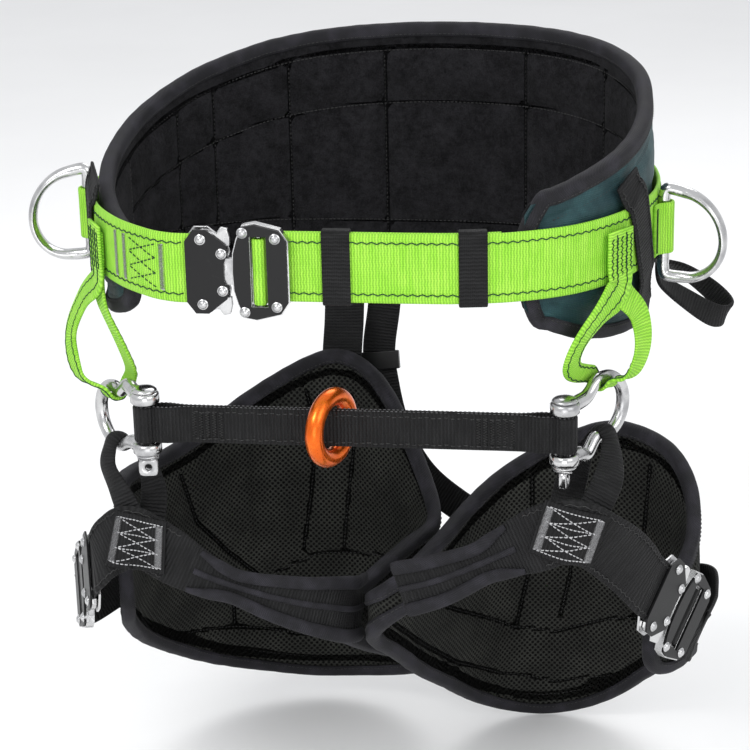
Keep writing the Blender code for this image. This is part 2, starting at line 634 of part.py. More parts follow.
def rivets(frame, spots):
    made = []
    axis, flat = np.array(frame.col[2][:3]), np.array(frame.col[0][:3])
    for x, y in spots:
        profile = [(0, 0.8), (RIVET_RADIUS, 0.8), (RIVET_RADIUS, FRONT_TOP + GAP), (RIVET_HEAD, FRONT_TOP + GAP),
                   (RIVET_HEAD - 0.3, FRONT_TOP + 1.2), (1.4, FRONT_TOP + 1.9), (0, FRONT_TOP + 2.0)]
        made.append(lathe(profile, local(frame, x, y, 0), STEEL, "rivet", 8, axis, flat))
    return made


def buckle(prefix, frame, web_width, web_mat):
    """Both halves of a two-lever buckle, with the webbing round the male half's bar."""
    around = [circle(spot, RIVET_RADIUS + GAP, 10) for spot in FEMALE_RIVETS]
    core = plate(f"{prefix}_female_core", FEMALE, [], 0, BACK, frame, STEEL)
    block = [(-24.6, -12.5), (-17.6, -12.5), (-17.6, 12.5), (-24.6, 12.5)]
    union(core, [plate("block", block, [], 0.8, CORE_TOP, frame, STEEL), *rivets(frame, FEMALE_RIVETS)])
    plate(f"{prefix}_female_cover", inset(FEMALE, 0.9), around, FRONT_LOW, FRONT_TOP, frame, BLACK_PLATE)
    for end, flip in (("a", 1), ("b", -1)):
        outline = [(x, y * flip) for x, y in LEVER]
        hole = [(x, y) for x, y in circle((LEVER_PIVOT[0], LEVER_PIVOT[1] * flip), RIVET_RADIUS + GAP, 10)]
        lever = plate(f"{prefix}_lever_{end}", outline, [hole], BACK + GAP, CORE_TOP, frame, STEEL)
        set_origin(lever, local(frame, LEVER_PIVOT[0], LEVER_PIVOT[1] * flip, BACK + GAP))
    male = plate(f"{prefix}_male_core", MALE, [SLOT], 0, CORE_TOP, frame, STEEL)
    tongue = plate("tongue", [(-16.8, -8.5), (4, -8.5), (4, 8.5), (-16.8, 8.5)], [], 2.1, 5.2, frame, STEEL)
    bar_axis = np.array(frame.col[1][:3])
    bar = lathe([(0, -24), (1.8, -24), (1.8, 24), (0, 24)], local(frame, 14, 0, 2.8), STEEL, "bar", 8, bar_axis,
                np.array(frame.col[0][:3]))
    union(male, [tongue, bar, *rivets(frame, MALE_RIVETS)])
    around = [circle(spot, RIVET_RADIUS + GAP, 10) for spot in MALE_RIVETS]
    plate(f"{prefix}_male_cover", inset(MALE, 0.9), [*around, inset(SLOT, -0.4)], FRONT_LOW, FRONT_TOP, frame,
          BLACK_PLATE)
    wrap = [(10.6, -0.1), (10.6, 1.5)]
    wrap += [(14 + 3.4 * math.cos(a), 2.8 + 3.4 * math.sin(a)) for a in np.radians(np.linspace(180, 0, 9))]
    wrap += [(17.4, 1.5), (17.4, -0.1)]
    path = [local(frame, x, 0, z) for x, z in wrap]
    ribbon(f"{prefix}_male_web", path, bar_axis, web_width, 2.0, web_mat)


WAIST_FRAME, RIGHT_FRAME, LEFT_FRAME = frame_of(WAIST_BUCKLE), frame_of(RIGHT_BUCKLE), frame_of(LEFT_BUCKLE)
buckle("waist_buckle", WAIST_FRAME, 43.0, GREEN_WEB)
buckle("right_leg_buckle", RIGHT_FRAME, 41.0, BLACK_WEB)
buckle("left_leg_buckle", LEFT_FRAME, 41.0, BLACK_WEB)

# --- leg loops -------------------------------------------------------------------------------------


class Leg(Plan):
    """The plan of a leg pad's middle, measured from its outer end, with the outward side away from the thigh."""

    def __init__(self, table, outward):
        super().__init__(table, lambda line: 0, outward)

    def low(self, s):
        return self.column(s, 3)

    def high(self, s):
        return self.column(s, 2)


def leg(side, table, outward):
    plan = Leg(table, outward)
    end = plan.run[-1]
    s = np.concatenate([[0, 2.0], np.linspace(9, end - 9, 32), [end - 2.0, end]])
    low, high = plan.low(s), plan.high(s)
    for i, cut in ((0, 12), (1, 5), (-1, 8), (-2, 3)):
        low[i], high[i] = low[i] + cut, high[i] - cut
    half = LEG_PAD / 2
    face = half - 1.8
    pad_sheet(f"{side}_leg_pad_shell", plan, s, low, high, face - 1.8, face, MESH_CLOTH)
    pad_sheet(f"{side}_leg_pad_lining", plan, s, low, high, 1.2 - face, face - 1.8 - GAP, MESH_CLOTH)
    binding(f"{side}_leg_pad_binding", plan, edge_loop(s, low, high), -half, half, BINDING)
    return plan


legs = {"right": leg("right", RIGHT_LEG, 1), "left": leg("left", LEFT_LEG, -1)}
FRAMES = {"right": RIGHT_FRAME, "left": LEFT_FRAME}
OFF_PAD = LEG_PAD / 2 + 0.4 + 1.3 + GAP + LEG_WEB_THICK / 2


def upward(frame):
    """The buckle's crosswise direction, pointing up."""
    across = np.array(frame.col[1][:3])
    return across if across[2] > 0 else -across


def blend_across(path, spots):
    """Crosswise directions along a path, between those given at its fractions."""
    run = np.linspace(0, 1, len(path))
    at = [s[0] for s in spots]
    return unit(np.stack([np.interp(run, at, [s[1][i] for s in spots]) for i in range(3)], axis=1))


# Front straps, from over the pad's inner end to inside the female half
FRONT_STRAPS = {
    "right": ([(28, -125.5, -222), (52, -127.5, -214), (80, -129, -201), (112, -135, -183), (140, -137, -171),
               (162, -129, -184), (178, -117, -202)], (0.42, 0.05, 0.90)),
    "left": ([(-5, -74, -259), (-10, -87, -256), (-22, -104, -247), (-42, -115.5, -239), (-72, -121.5, -229),
              (-108, -122, -216), (-149, -114, -197), (-168, -111, -204)], (-0.05, 0.05, 1.0)),
}
for side, (spots, lean) in FRONT_STRAPS.items():
    frame = FRAMES[side]
    inside_end = [local(frame, x, 0, 3.75) for x in (-46, -38, -28.5)]
    path = spline([*[np.array(p) for p in spots], *inside_end], 30)
    across = blend_across(path, [(0, (0, 0, 1)), (0.5, lean), (0.72, lean), (0.9, upward(frame)), (1, upward(frame))])
    ribbon(f"{side}_leg_strap", path, across, LEG_WEB_WIDTH, LEG_WEB_THICK, BLACK_WEB)

# Adjusting straps, from behind the male half to the outer side of the pad
ADJUST_OFFSET = -GAP - 0.4 - LEG_WEB_THICK / 2
for side, sign in (("left", -1), ("right", 1)):
    frame, plan = FRAMES[side], legs[side]
    run_in = [local(frame, x, 0, ADJUST_OFFSET) for x in (12, 26, 40, 54)]
    on_pad = []
    for s, down, off in ((82, 0.40, 5.0), (112, 0.36, 1.2), (140, 0.34, 1.2)):
        spot = plan.at(s, OFF_PAD + off)[0]
        spot[2] = plan.high(s) + (plan.low(s) - plan.high(s)) * (1 - down)
        on_pad.append(spot)
    path = spline([*run_in, *on_pad], 24)
    across = blend_across(path, [(0, upward(frame)), (0.42, upward(frame)), (0.75, (0, 0, 1)), (1, (0, 0, 1))])
    ribbon(f"{side}_leg_adjuster", path, across, LEG_WEB_WIDTH - 4, LEG_WEB_THICK, BLACK_WEB)

# Hangers: webbing over each bow's lower arm, both ends sewn behind the front strap
HANG_WEB = 2.0
HANGERS = {
    "right": ([(149, -129.0, -186), (152, -127.6, -168), (162, -116, -148), (165, -98, -138)],
              [(144, -86, -142), (139, -100, -152), (136, -119, -166), (137, -124.5, -182)]),
    "left": ([(-150, -106.6, -212), (-153, -105.6, -192), (-162, -101, -172), (-172, -95, -153)],
             [(-150, -80, -152), (-142, -89, -172), (-143, -98.5, -190), (-146, -102.4, -208)]),
}
for side, (first, last) in HANGERS.items():
    top = loop_round(side, -1, GAP + 1.4 + HANG_WEB / 2)[::-1]
    out, front = bow_way(side)
    lean = FRONT_STRAPS[side][1]
    rise, fall = spline([*map(np.array, first), top[0]], 13)[:-1], spline([top[-1], *map(np.array, last)], 13)[1:]
    path = np.concatenate([rise, top, fall])
    flat = unit(np.array([1.0, 0.25 if side == "right" else -0.35, 0.0]))
    flat = flat if flat @ out > 0 else -flat
    away = np.abs(np.arange(len(path)) - 0.5 * (len(path) - 1))
    across = np.array([unit(flat * (1 - t) + out * t) for t in np.interp(away, [5, 11], [1, 0])])
    width = np.interp(away, [0, 4, 9, 14], [14, 14, 20, 22])
    ribbon(f"{side}_leg_hanger", path, across, width, HANG_WEB, BLACK_WEB)

# --- gear loop and back risers ---------------------------------------------------------------------

GEAR_LOOP = [(268, 0.8, -38), (267, 2.5, -50), (263, 22, -66), (256, 42, -80), (247, 52, -80), (238, 44, -70),
             (232, 22, -54), (229, 3, -46), (228, 0.8, -34)]
gear_spots = spline(GEAR_LOOP, 26)
gear_path, gear_out = waist_path(GEAR_LOOP, 26), waist.normal(gear_spots[:, 0])
gear_along = tangents(waist.at(gear_spots[:, 0][::-1]))[::-1]
gear_turn = np.linspace(0, math.pi, 26)[:, None]
gear_across = gear_along * np.cos(gear_turn) - (np.array(UP) * 0.85 + gear_out * 0.4) * np.sin(gear_turn)
ribbon("gear_loop", gear_path, gear_across, 16.0, 2.8, BLACK_WEB)

BACK_RISERS = {
    "left": ([(-45, 160.5, -34), (-45, 160.8, -66), (-45, 160, -84), (-45, 146, -106), (-44, 131, -124),
              (-44, 119, -142), (-44, 114.5, -162), (-44, 113.8, -190)], 30.0, (1.0, 0.0, 0.0)),
    "right": ([(-16, 163.5, -34), (-16, 163.2, -62), (-16, 157, -110), (-20, 148, -146), (-18, 142, -166),
               (-8, 133, -205), (14, 122, -240), (48, 108, -262), (84, 95, -276), (100, 92.5, -282)], 25.0,
              (0.45, 0.0, 0.9)),
}
riser_paths = {}
for side, (spots, width, lean) in BACK_RISERS.items():
    path = spline([np.array(p) for p in spots], 24)
    across = blend_across(path, [(0, (1, 0, 0)), (0.5, (1, 0, 0)), (0.8, lean), (1, lean)])
    ribbon(f"{side}_back_riser", path, across, width, LEG_WEB_THICK, BLACK_WEB)
    riser_paths[side] = path

# Slider round the right back riser
path = riser_paths["right"]
nearest = int(np.argmin(np.abs(path[:, 2] + 155)))
run, middle = tangents(path)[nearest], path[nearest]
side_way = unit(np.cross(np.cross(run, (1.0, 0, 0)), run))
place = np.eye(4)
place[:3, 0], place[:3, 1], place[:3, 2], place[:3, 3] = side_way, np.cross(run, side_way), run, middle
slider_hole = [(-13.4, -2.2), (13.4, -2.2), (13.4, 2.2), (-13.4, 2.2)]
plate("back_riser_slider", [(-15.6, -4.0), (15.6, -4.0), (15.6, 4.0), (-15.6, 4.0)], [slider_hole], -7, 7,
      Matrix(place.tolist()), BLACK_PLATE)
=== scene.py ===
"""Looks of the tree climbing saddle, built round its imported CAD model.

Lengths are in millimetres until a mesh is made.
"""

import math

import bmesh
import bpy
import numpy as np
from mathutils import Matrix, Vector, noise


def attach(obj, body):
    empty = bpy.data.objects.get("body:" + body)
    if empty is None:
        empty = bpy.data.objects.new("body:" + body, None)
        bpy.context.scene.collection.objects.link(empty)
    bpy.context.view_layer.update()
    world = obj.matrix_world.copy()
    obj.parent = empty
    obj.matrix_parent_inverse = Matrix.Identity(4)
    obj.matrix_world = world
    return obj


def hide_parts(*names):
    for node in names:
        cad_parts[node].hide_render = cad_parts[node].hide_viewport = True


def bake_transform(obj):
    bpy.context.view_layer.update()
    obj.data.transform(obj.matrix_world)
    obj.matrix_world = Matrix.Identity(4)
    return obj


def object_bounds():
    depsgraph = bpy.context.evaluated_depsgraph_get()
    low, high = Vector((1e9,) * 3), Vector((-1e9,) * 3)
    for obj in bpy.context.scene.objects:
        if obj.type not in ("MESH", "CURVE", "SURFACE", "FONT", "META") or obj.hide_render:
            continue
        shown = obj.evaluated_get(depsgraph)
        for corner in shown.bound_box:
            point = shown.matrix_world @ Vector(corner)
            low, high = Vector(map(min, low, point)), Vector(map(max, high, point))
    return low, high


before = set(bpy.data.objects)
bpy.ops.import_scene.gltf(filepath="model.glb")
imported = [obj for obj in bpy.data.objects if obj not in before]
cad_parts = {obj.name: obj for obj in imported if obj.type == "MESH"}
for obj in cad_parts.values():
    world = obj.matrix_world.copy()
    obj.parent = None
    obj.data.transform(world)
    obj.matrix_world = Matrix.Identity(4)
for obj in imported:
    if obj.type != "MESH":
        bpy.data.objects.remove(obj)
cad_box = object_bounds()
UP = np.array([0.0, 0.0, 1.0])

# --- the CAD's own dimensions, in millimetres --------------------------------------------------------

BELT_WIDTH, BELT_THICK, TAIL_THICK, RISER_WEB, HANG_WEB = 45.0, 2.8, 2.2, 2.2, 2.0
LEG_WEB_WIDTH, LEG_WEB_THICK = 42.0, 2.4
GAP, WAIST_FACE, WAIST_PAD, LEG_PAD, LEG_PAD_HALF = 0.3, -4.2, 11.0, 9.4, 3.9
BELT_PLAN = [(-57, -136), (-25, -136), (10, -136), (45, -136), (72, -134.5), (106, -127), (142, -107),
             (170, -72), (186, -30), (190, 15), (182, 62), (156, 106), (112, 138), (58, 155), (0, 160),
             (-58, 155), (-112, 138), (-156, 106), (-182, 62), (-190, 15), (-187, -30), (-174, -72),
             (-152, -107), (-126, -132), (-111, -140.2), (-103, -141.7), (-96, -141.7)]
WAIST_TOP = [(-404, -2), (-399, 8), (-375, 17), (-345, 24), (-295, 36), (-250, 47), (-200, 61), (-150, 76),
             (-80, 92), (0, 99), (80, 100), (140, 98), (190, 93), (243, 84), (284, 72), (325, 62), (370, 53),
             (405, 46), (430, 39), (440, 27), (443, 8)]
WAIST_BOTTOM = [(-404, -20), (-399, -34), (-380, -46), (-345, -54), (-270, -62), (-180, -70), (0, -77),
                (180, -72), (270, -68), (345, -63), (395, -55), (422, -45), (438, -32), (443, -14)]
RIGHT_LEG = [(190, -67, -254, -304), (206, -42, -246, -314), (219, -8, -226, -318), (216, 30, -201, -338),
             (197, 60, -184, -366), (160, 80, -179, -402), (118, 86, -196, -418), (82, 76, -216, -412),
             (58, 50, -232, -392), (42, 15, -242, -364), (27, -18, -249, -338), (14, -52, -251, -308),
             (4, -84, -246, -282), (14, -106, -230, -260), (40, -113, -210, -238), (66, -117, -197, -224)]
LEFT_LEG = [(-168, -80, -190, -270), (-174, -55, -180, -292), (-175, -15, -186, -322), (-165, 25, -192, -350),
            (-143, 62, -186, -376), (-110, 90, -166, -394), (-68, 103, -143, -403), (-38, 104, -138, -402),
            (-8, 95, -160, -396), (20, 74, -212, -382), (32, 46, -242, -364), (18, 12, -247, -342),
            (4, -20, -250, -322), (-9, -52, -252, -302), (-20, -80, -245, -282), (-36, -99, -228, -262)]
BUCKLES = {
    "waist_buckle": ((-67.5, -138.0, -1.5), (1.0, 0.0, 0.0), (0.0, -1.0, 0.0)),
    "right_leg_buckle": ((204.5, -78.0, -250.0), (0.40, 0.62, -0.67), (0.83, -0.55, -0.02)),
    "left_leg_buckle": ((-193.5, -75.0, -246.5), (-0.36, 0.70, -0.62), (-0.93, -0.34, 0.05)),
}
PIN = {"left": (-139.0, -112.0, -115.0), "right": (135.0, -112.0, -115.0)}
BOW = {"left": (-166.0, -84.0, -121.0), "right": (158.0, -82.0, -107.0)}
BOW_RADIUS, SHACKLE_WIRE, SHACKLE_GAP, SHACKLE_PIN, EAR = 20.5, 8.5, 27.0, 9.0, 8.0
D_SPOTS = {"left": (-298.0, 2.0), "right": (298.0, -7.0)}
D_WIRE, D_TALL, D_OUT, DROOP = 8.0, 66.0, 46.0, 6.0
RING_X, RING_TURN, RING_OUTER, RING_SECTION = -16.0, math.radians(-24), 53.0, 12.0
BRIDGE_HEIGHT, LAYER_THICK, LAYER_MIDDLE = 25.0, 2.7, 1.62
OVER_BELT = BELT_THICK / 2 + GAP + 1.1
SIDES = (("left", -1), ("right", 1))
MM = 0.001

# --- curves ------------------------------------------------------------------------------------------


def circle(count):
    return np.linspace(0, 2 * math.pi, count, endpoint=False)


def arc_spots(x, y, radius, start, stop, count):
    """Flat points on an arc, from start to stop in degrees."""
    return [(x + radius * math.cos(a), y + radius * math.sin(a)) for a in np.radians(np.linspace(start, stop, count))]


def unit(v):
    v = np.asarray(v, float)
    return v / np.linalg.norm(v, axis=-1, keepdims=True)


def spline(points, count, closed=False):
    """Evenly spaced points on a Catmull-Rom curve through the given points."""
    p = np.asarray(points, float)
    ends = (p[-1:], p[:2]) if closed else (2 * p[:1] - p[1:2], 2 * p[-1:] - p[-2:-1])
    p = np.concatenate([ends[0], p, ends[1]])
    t = np.linspace(0, 1, 24, endpoint=False)[:, None]
    parts = []
    for a, b, c, d in zip(p[:-3], p[1:-2], p[2:-1], p[3:], strict=True):
        parts.append(0.5 * (2 * b + (c - a) * t + (2 * a - 5 * b + 4 * c - d) * t**2
                            + (3 * b - a - 3 * c + d) * t**3))
    dense = np.concatenate([*parts, p[-2:-1] if not closed else parts[0][:1]])
    return resample(dense, count, closed)


def resample(dense, count, closed=False):
    run = length_along(dense)
    at = np.linspace(0, run[-1], count, endpoint=not closed)
    return np.stack([np.interp(at, run, dense[:, i]) for i in range(dense.shape[1])], axis=1)


def length_along(path):
    return np.concatenate([[0], np.cumsum(np.linalg.norm(np.diff(path, axis=0), axis=1))])


def tangents(points, closed=False):
    if closed:
        return unit(np.roll(points, -1, axis=0) - np.roll(points, 1, axis=0))
    return unit(np.gradient(points, axis=0))


class Plan:
    """A curve seen from above, measured from one point on it, with its outward side."""

    def __init__(self, points, zero, outward, turned=False):
        self.line = spline(points, 600)
        self.run = length_along(self.line[:, :2])
        self.run = self.run - self.run[zero(self.line)]
        way = tangents(self.line[:, :2])
        self.out = np.stack([way[:, 1], -way[:, 0]], axis=1) * outward
        if turned:
            self.line, self.out, self.run = self.line[::-1], self.out[::-1], -self.run[::-1]

    def at(self, s, offset=0.0, z=0.0):
        s = np.atleast_1d(np.asarray(s, float))
        flat = np.stack([np.interp(s, self.run, self.line[:, i]) for i in (0, 1)], axis=1)
        normal = self.normal(s)[:, :2]
        step = self.line[1, :2] - self.line[0, :2]
        turn = np.sign(step[0] * self.out[0, 1] - step[1] * self.out[0, 0])
        past = s - np.clip(s, self.run[0], self.run[-1])
        flat = flat + np.stack([normal[:, 1], -normal[:, 0]], axis=1) * (turn * past)[:, None]
        return np.column_stack([flat + normal * np.reshape(offset, (-1, 1)), np.broadcast_to(z, len(s))])

    def normal(self, s):
        s = np.atleast_1d(np.asarray(s, float))
        out = np.stack([np.interp(s, self.run, self.out[:, i]) for i in (0, 1)], axis=1)
        return np.column_stack([unit(out), np.zeros(len(s))])

    def column(self, s, i):
        return np.interp(s, self.run, self.line[:, i])


waist = Plan(BELT_PLAN, lambda line: int(np.argmax(line[:, 1])), 1, turned=True)
legs = {"right": Plan(RIGHT_LEG, lambda line: 0, 1), "left": Plan(LEFT_LEG, lambda line: 0, -1)}


def waist_path(spots, count):
    spots = spline(spots, count)
    path = waist.at(spots[:, 0], spots[:, 1])
    path[:, 2] = spots[:, 2]
    return path


# --- meshes ------------------------------------------------------------------------------------------

HARNESS = "harness"


def mesh_object(name, points, faces, mat, cloth=None, smooth=True):
    """One mesh in metres. cloth is a (corners, 3) array: millimetres along and across the cloth."""
    mesh = bpy.data.meshes.new(name)
    mesh.from_pydata((np.asarray(points, float) * MM).tolist(), [], faces)
    if cloth is not None:
        layer = mesh.attributes.new("cloth", "FLOAT_VECTOR", "CORNER")
        layer.data.foreach_set("vector", np.asarray(cloth, np.float32).ravel())
    work = bmesh.new()
    work.from_mesh(mesh)
    bmesh.ops.recalc_face_normals(work, faces=work.faces)
    work.to_mesh(mesh)
    work.free()
    mesh.polygons.foreach_set("use_smooth", [smooth] * len(mesh.polygons))
    mesh.materials.append(mat)
    obj = bpy.data.objects.new(name, mesh)
    bpy.context.scene.collection.objects.link(obj)
    return obj


def grid_faces(rings, size, closed, first=0):
    """Quads that join rings of points, with the matching (ring, point) of each corner."""
    i = np.arange(rings if closed else rings - 1)[:, None]
    j = np.arange(size)[None, :]
    corners = []
    for di, dj in ((0, 0), (0, 1), (1, 1), (1, 0)):
        corners.append(np.stack(np.broadcast_arrays(i + di, j + dj), axis=-1))
    corners = np.stack(corners, axis=2).reshape(-1, 4, 2)
    faces = first + corners[..., 0] % rings * size + corners[..., 1] % size
    return faces, corners


def sweep(name, sections, mat, along=None, around=None, closed=False, smooth=True):
    """Rings of points joined into one closed skin. along and around give the cloth's own millimetres."""
    sections = np.asarray(sections, float)
    rings, size = sections.shape[:2]
    faces, corners = grid_faces(rings, size, closed)
    faces = faces.tolist()
    cloth = None
    if along is not None:
        a = np.append(along, along[-1] + (along[-1] - along[-2]))
        b = np.append(around, around[0])
        cloth = np.stack([a[corners[..., 0]], b[corners[..., 1]], np.zeros(corners.shape[:2])], axis=-1)
        cloth = cloth.reshape(-1, 3)
    if not closed:
        caps = [list(range(size))[::-1], [(rings - 1) * size + j for j in range(size)]]
        faces += caps
        if cloth is not None:
            ends = [[along[k and -1], around[j % size], 0] for k, cap in enumerate(caps) for j in cap]
            cloth = np.concatenate([cloth, ends])
    return mesh_object(name, sections.reshape(-1, 3), faces, mat, cloth, smooth)


def finish(obj, body, slot, *nodes, blend=None):
    """Rides the piece on its body and hides the CAD nodes it stands for. Its slot is not used."""
    if blend:
        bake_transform(obj)
    else:
        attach(obj, body)
    if nodes:
        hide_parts(*nodes)
    return obj


class Strap:
    """Webbing along a path: its mesh, and places on its face for stitches."""

    def __init__(self, path, across, width, thick, face=1, closed=False):
        self.path, self.thick, self.closed, self.face = np.asarray(path, float), thick, closed, face
        run = tangents(self.path, closed)
        across = np.broadcast_to(np.asarray(across, float), self.path.shape)
        self.normal = unit(np.cross(run, across)) * face
        self.across = unit(np.cross(self.normal, run)) * face
        self.width = np.broadcast_to(np.asarray(width, float), len(self.path))
        self.run = length_along(self.path)

    def piece(self, name, mat, slack=0.12):
        """The webbing, with rounded selvedges and slight waves in its face."""
        t = self.thick / 2
        flat = np.linspace(-1, 1, 9)
        sections, around = [], None
        for k, (p, a, n, w) in enumerate(zip(self.path, self.across, self.normal, self.width, strict=True)):
            half = w / 2 - t
            ring, spots = [], []
            for sign in (1, -1):
                for f in flat * sign:
                    crown = 0.0 if self.closed else slack * noise.noise(Vector((self.run[k] / 18, f * w / 26, t)))
                    ring.append(p + a * f * half + n * (t * sign + crown))
                    spots.append(f * half)
                for turn in (50, 90, 130):
                    c, s = math.cos(math.radians(turn)), math.sin(math.radians(turn))
                    ring.append(p + a * sign * (half + t * s) + n * sign * t * c)
                    spots.append(sign * (half + t))
            sections.append(ring)
            around = spots if around is None else around
        return sweep(name, sections, mat, self.run, np.array(around), self.closed)

    def at(self, s, x, lift=0.0, face=1):
        """Points at distances s along and x across, lifted off the face."""
        s, x = np.broadcast_arrays(np.asarray(s, float), np.asarray(x, float))
        pick = lambda table: np.stack([np.interp(s, self.run, table[:, i]) for i in range(3)], axis=-1)
        lift = (self.thick / 2 + lift) * face
        return pick(self.path) + pick(self.across) * x[..., None] + pick(self.normal) * lift


def facing(path, across, width, thick, towards, spot=None, closed=False):
    """A strap whose face looks the given way at one of its points, by default the middle one."""
    spot = len(path) // 2 if spot is None else spot
    strap = Strap(path, across, width, thick, 1, closed)
    if strap.normal[spot] @ np.asarray(towards, float) < 0:
        strap = Strap(path, across, width, thick, -1, closed)
    return strap


def stitches(name, lines, mat, radius=0.45, sides=5):
    """Threads along polylines, as one mesh."""
    points, faces, first = [], [], 0
    turn = circle(sides)
    for line in lines:
        line = np.asarray(line, float)
        run = tangents(line)
        ref = np.where(np.abs(run[:, 2:3]) < 0.9, UP, np.array([1.0, 0, 0]))
        side = unit(np.cross(run, ref))
        up = np.cross(side, run)
        ring = line[:, None] + radius * (side[:, None] * np.cos(turn)[None, :, None]
                                         + up[:, None] * np.sin(turn)[None, :, None])
        quads, _ = grid_faces(len(line), sides, False, first)
        faces += quads.tolist()
        faces += [list(range(first, first + sides))[::-1],
                  list(range(first + (len(line) - 1) * sides, first + len(line) * sides))]
        points.append(ring.reshape(-1, 3))
        first += len(line) * sides
    return mesh_object(name, np.concatenate(points), faces, mat)


def sew(name, lines, mat, radius=0.45, sides=5, body=HARNESS, blend=None):
    """Stitches as a finished piece."""
    return finish(stitches(name, lines, mat, radius, sides), body, "binding_tape", blend=blend)


def zigzag(strap, x, start, end, pitch=5.0, amp=1.1, face=1):
    """Points of one zigzag stitch line along a strap, at x across it."""
    s = np.arange(start, end, pitch / 4)
    wave = np.abs((s / pitch) % 1 * 2 - 1) * 2 - 1
    return strap.at(s, x + amp * wave, 0.25, face)


def running(strap, ends, pitch=3.4, share=0.66, face=1, lift=0.2):
    """Separate stitches along a straight line between two (s, x) spots on a strap."""
    (s0, x0), (s1, x1) = ends
    count = max(1, int(math.hypot(s1 - s0, x1 - x0) / pitch))
    lines = []
    for k in range(count):
        f = (k + np.array([0, 0.25, 0.75, 1]) * share) / count
        lift_here = lift + np.array([-0.5, 0.12, 0.12, -0.5])
        spots = strap.at(s0 + (s1 - s0) * f, x0 + (x1 - x0) * f, 0, face)
        out = strap.at(s0 + (s1 - s0) * f, x0 + (x1 - x0) * f, 1.0, face) - spots
        lines.append(spots + out * lift_here[:, None])
    return lines


def bar_tack(strap, s, low, high, wide=1.6, step=0.9, face=1):
    x = np.arange(low, high, step / 2)
    return strap.at(s + wide * (np.arange(len(x)) % 2 * 2 - 1), x, 0.3, face)


def tube_rings(path, radius, sides, closed=False, flat=None, wide=None):
    path = np.asarray(path, float)
    run = tangents(path, closed)
    up = np.broadcast_to(np.asarray(flat if flat is not None else UP, float), path.shape)
    side = unit(np.cross(run, up))
    up = unit(np.cross(side, run))
    radius = np.broadcast_to(np.asarray(radius, float), len(path))[:, None, None]
    wide = radius if wide is None else np.broadcast_to(np.asarray(wide, float), len(path))[:, None, None]
    turn = circle(sides)[None, :, None]
    return path[:, None] + side[:, None] * np.cos(turn) * radius + up[:, None] * np.sin(turn) * wide


def turned(profile, centre, axis, flat, sides=28):
    """Rings of a turned shape from (radius, height) pairs, for sweep."""
    axis, flat = unit(axis), unit(flat)
    other = np.cross(axis, flat)
    turn = circle(sides)[None, :, None]
    r, h = np.array(profile, float).T
    ring = flat * np.cos(turn) + other * np.sin(turn)
    return np.array(centre, float) + axis * h[:, None, None] + ring * r[:, None, None]


def joined(objs, name):
    """Several new meshes made one."""
    bpy.ops.object.select_all(action="DESELECT")
    for obj in objs:
        obj.select_set(True)
    bpy.context.view_layer.objects.active = objs[0]
    bpy.ops.object.join()
    objs[0].select_set(False)
    objs[0].name = objs[0].data.name = name
    return objs[0]


def eased(node, name, mat, body, slot, width=0.5, angle=28):
    """A CAD node's own shape with its edges eased, standing for it."""
    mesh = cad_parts[node].data.copy()
    mesh.name = name
    work = bmesh.new()
    work.from_mesh(mesh)
    bmesh.ops.remove_doubles(work, verts=work.verts, dist=1e-6)
    bmesh.ops.dissolve_limit(work, angle_limit=0.01, verts=work.verts, edges=work.edges)
    work.to_mesh(mesh)
    work.free()
    mesh.polygons.foreach_set("use_smooth", [True] * len(mesh.polygons))
    mesh.materials.clear()
    mesh.materials.append(mat)
    obj = bpy.data.objects.new(name, mesh)
    bpy.context.scene.collection.objects.link(obj)
    bevel = obj.modifiers.new("eased", "BEVEL")
    bevel.width, bevel.segments, bevel.limit_method = width * MM, 2, "ANGLE"
    bevel.angle_limit = math.radians(angle)
    obj.modifiers.new("normals", "WEIGHTED_NORMAL")
    return finish(obj, body, slot, node)


# --- materials ---------------------------------------------------------------------------------------


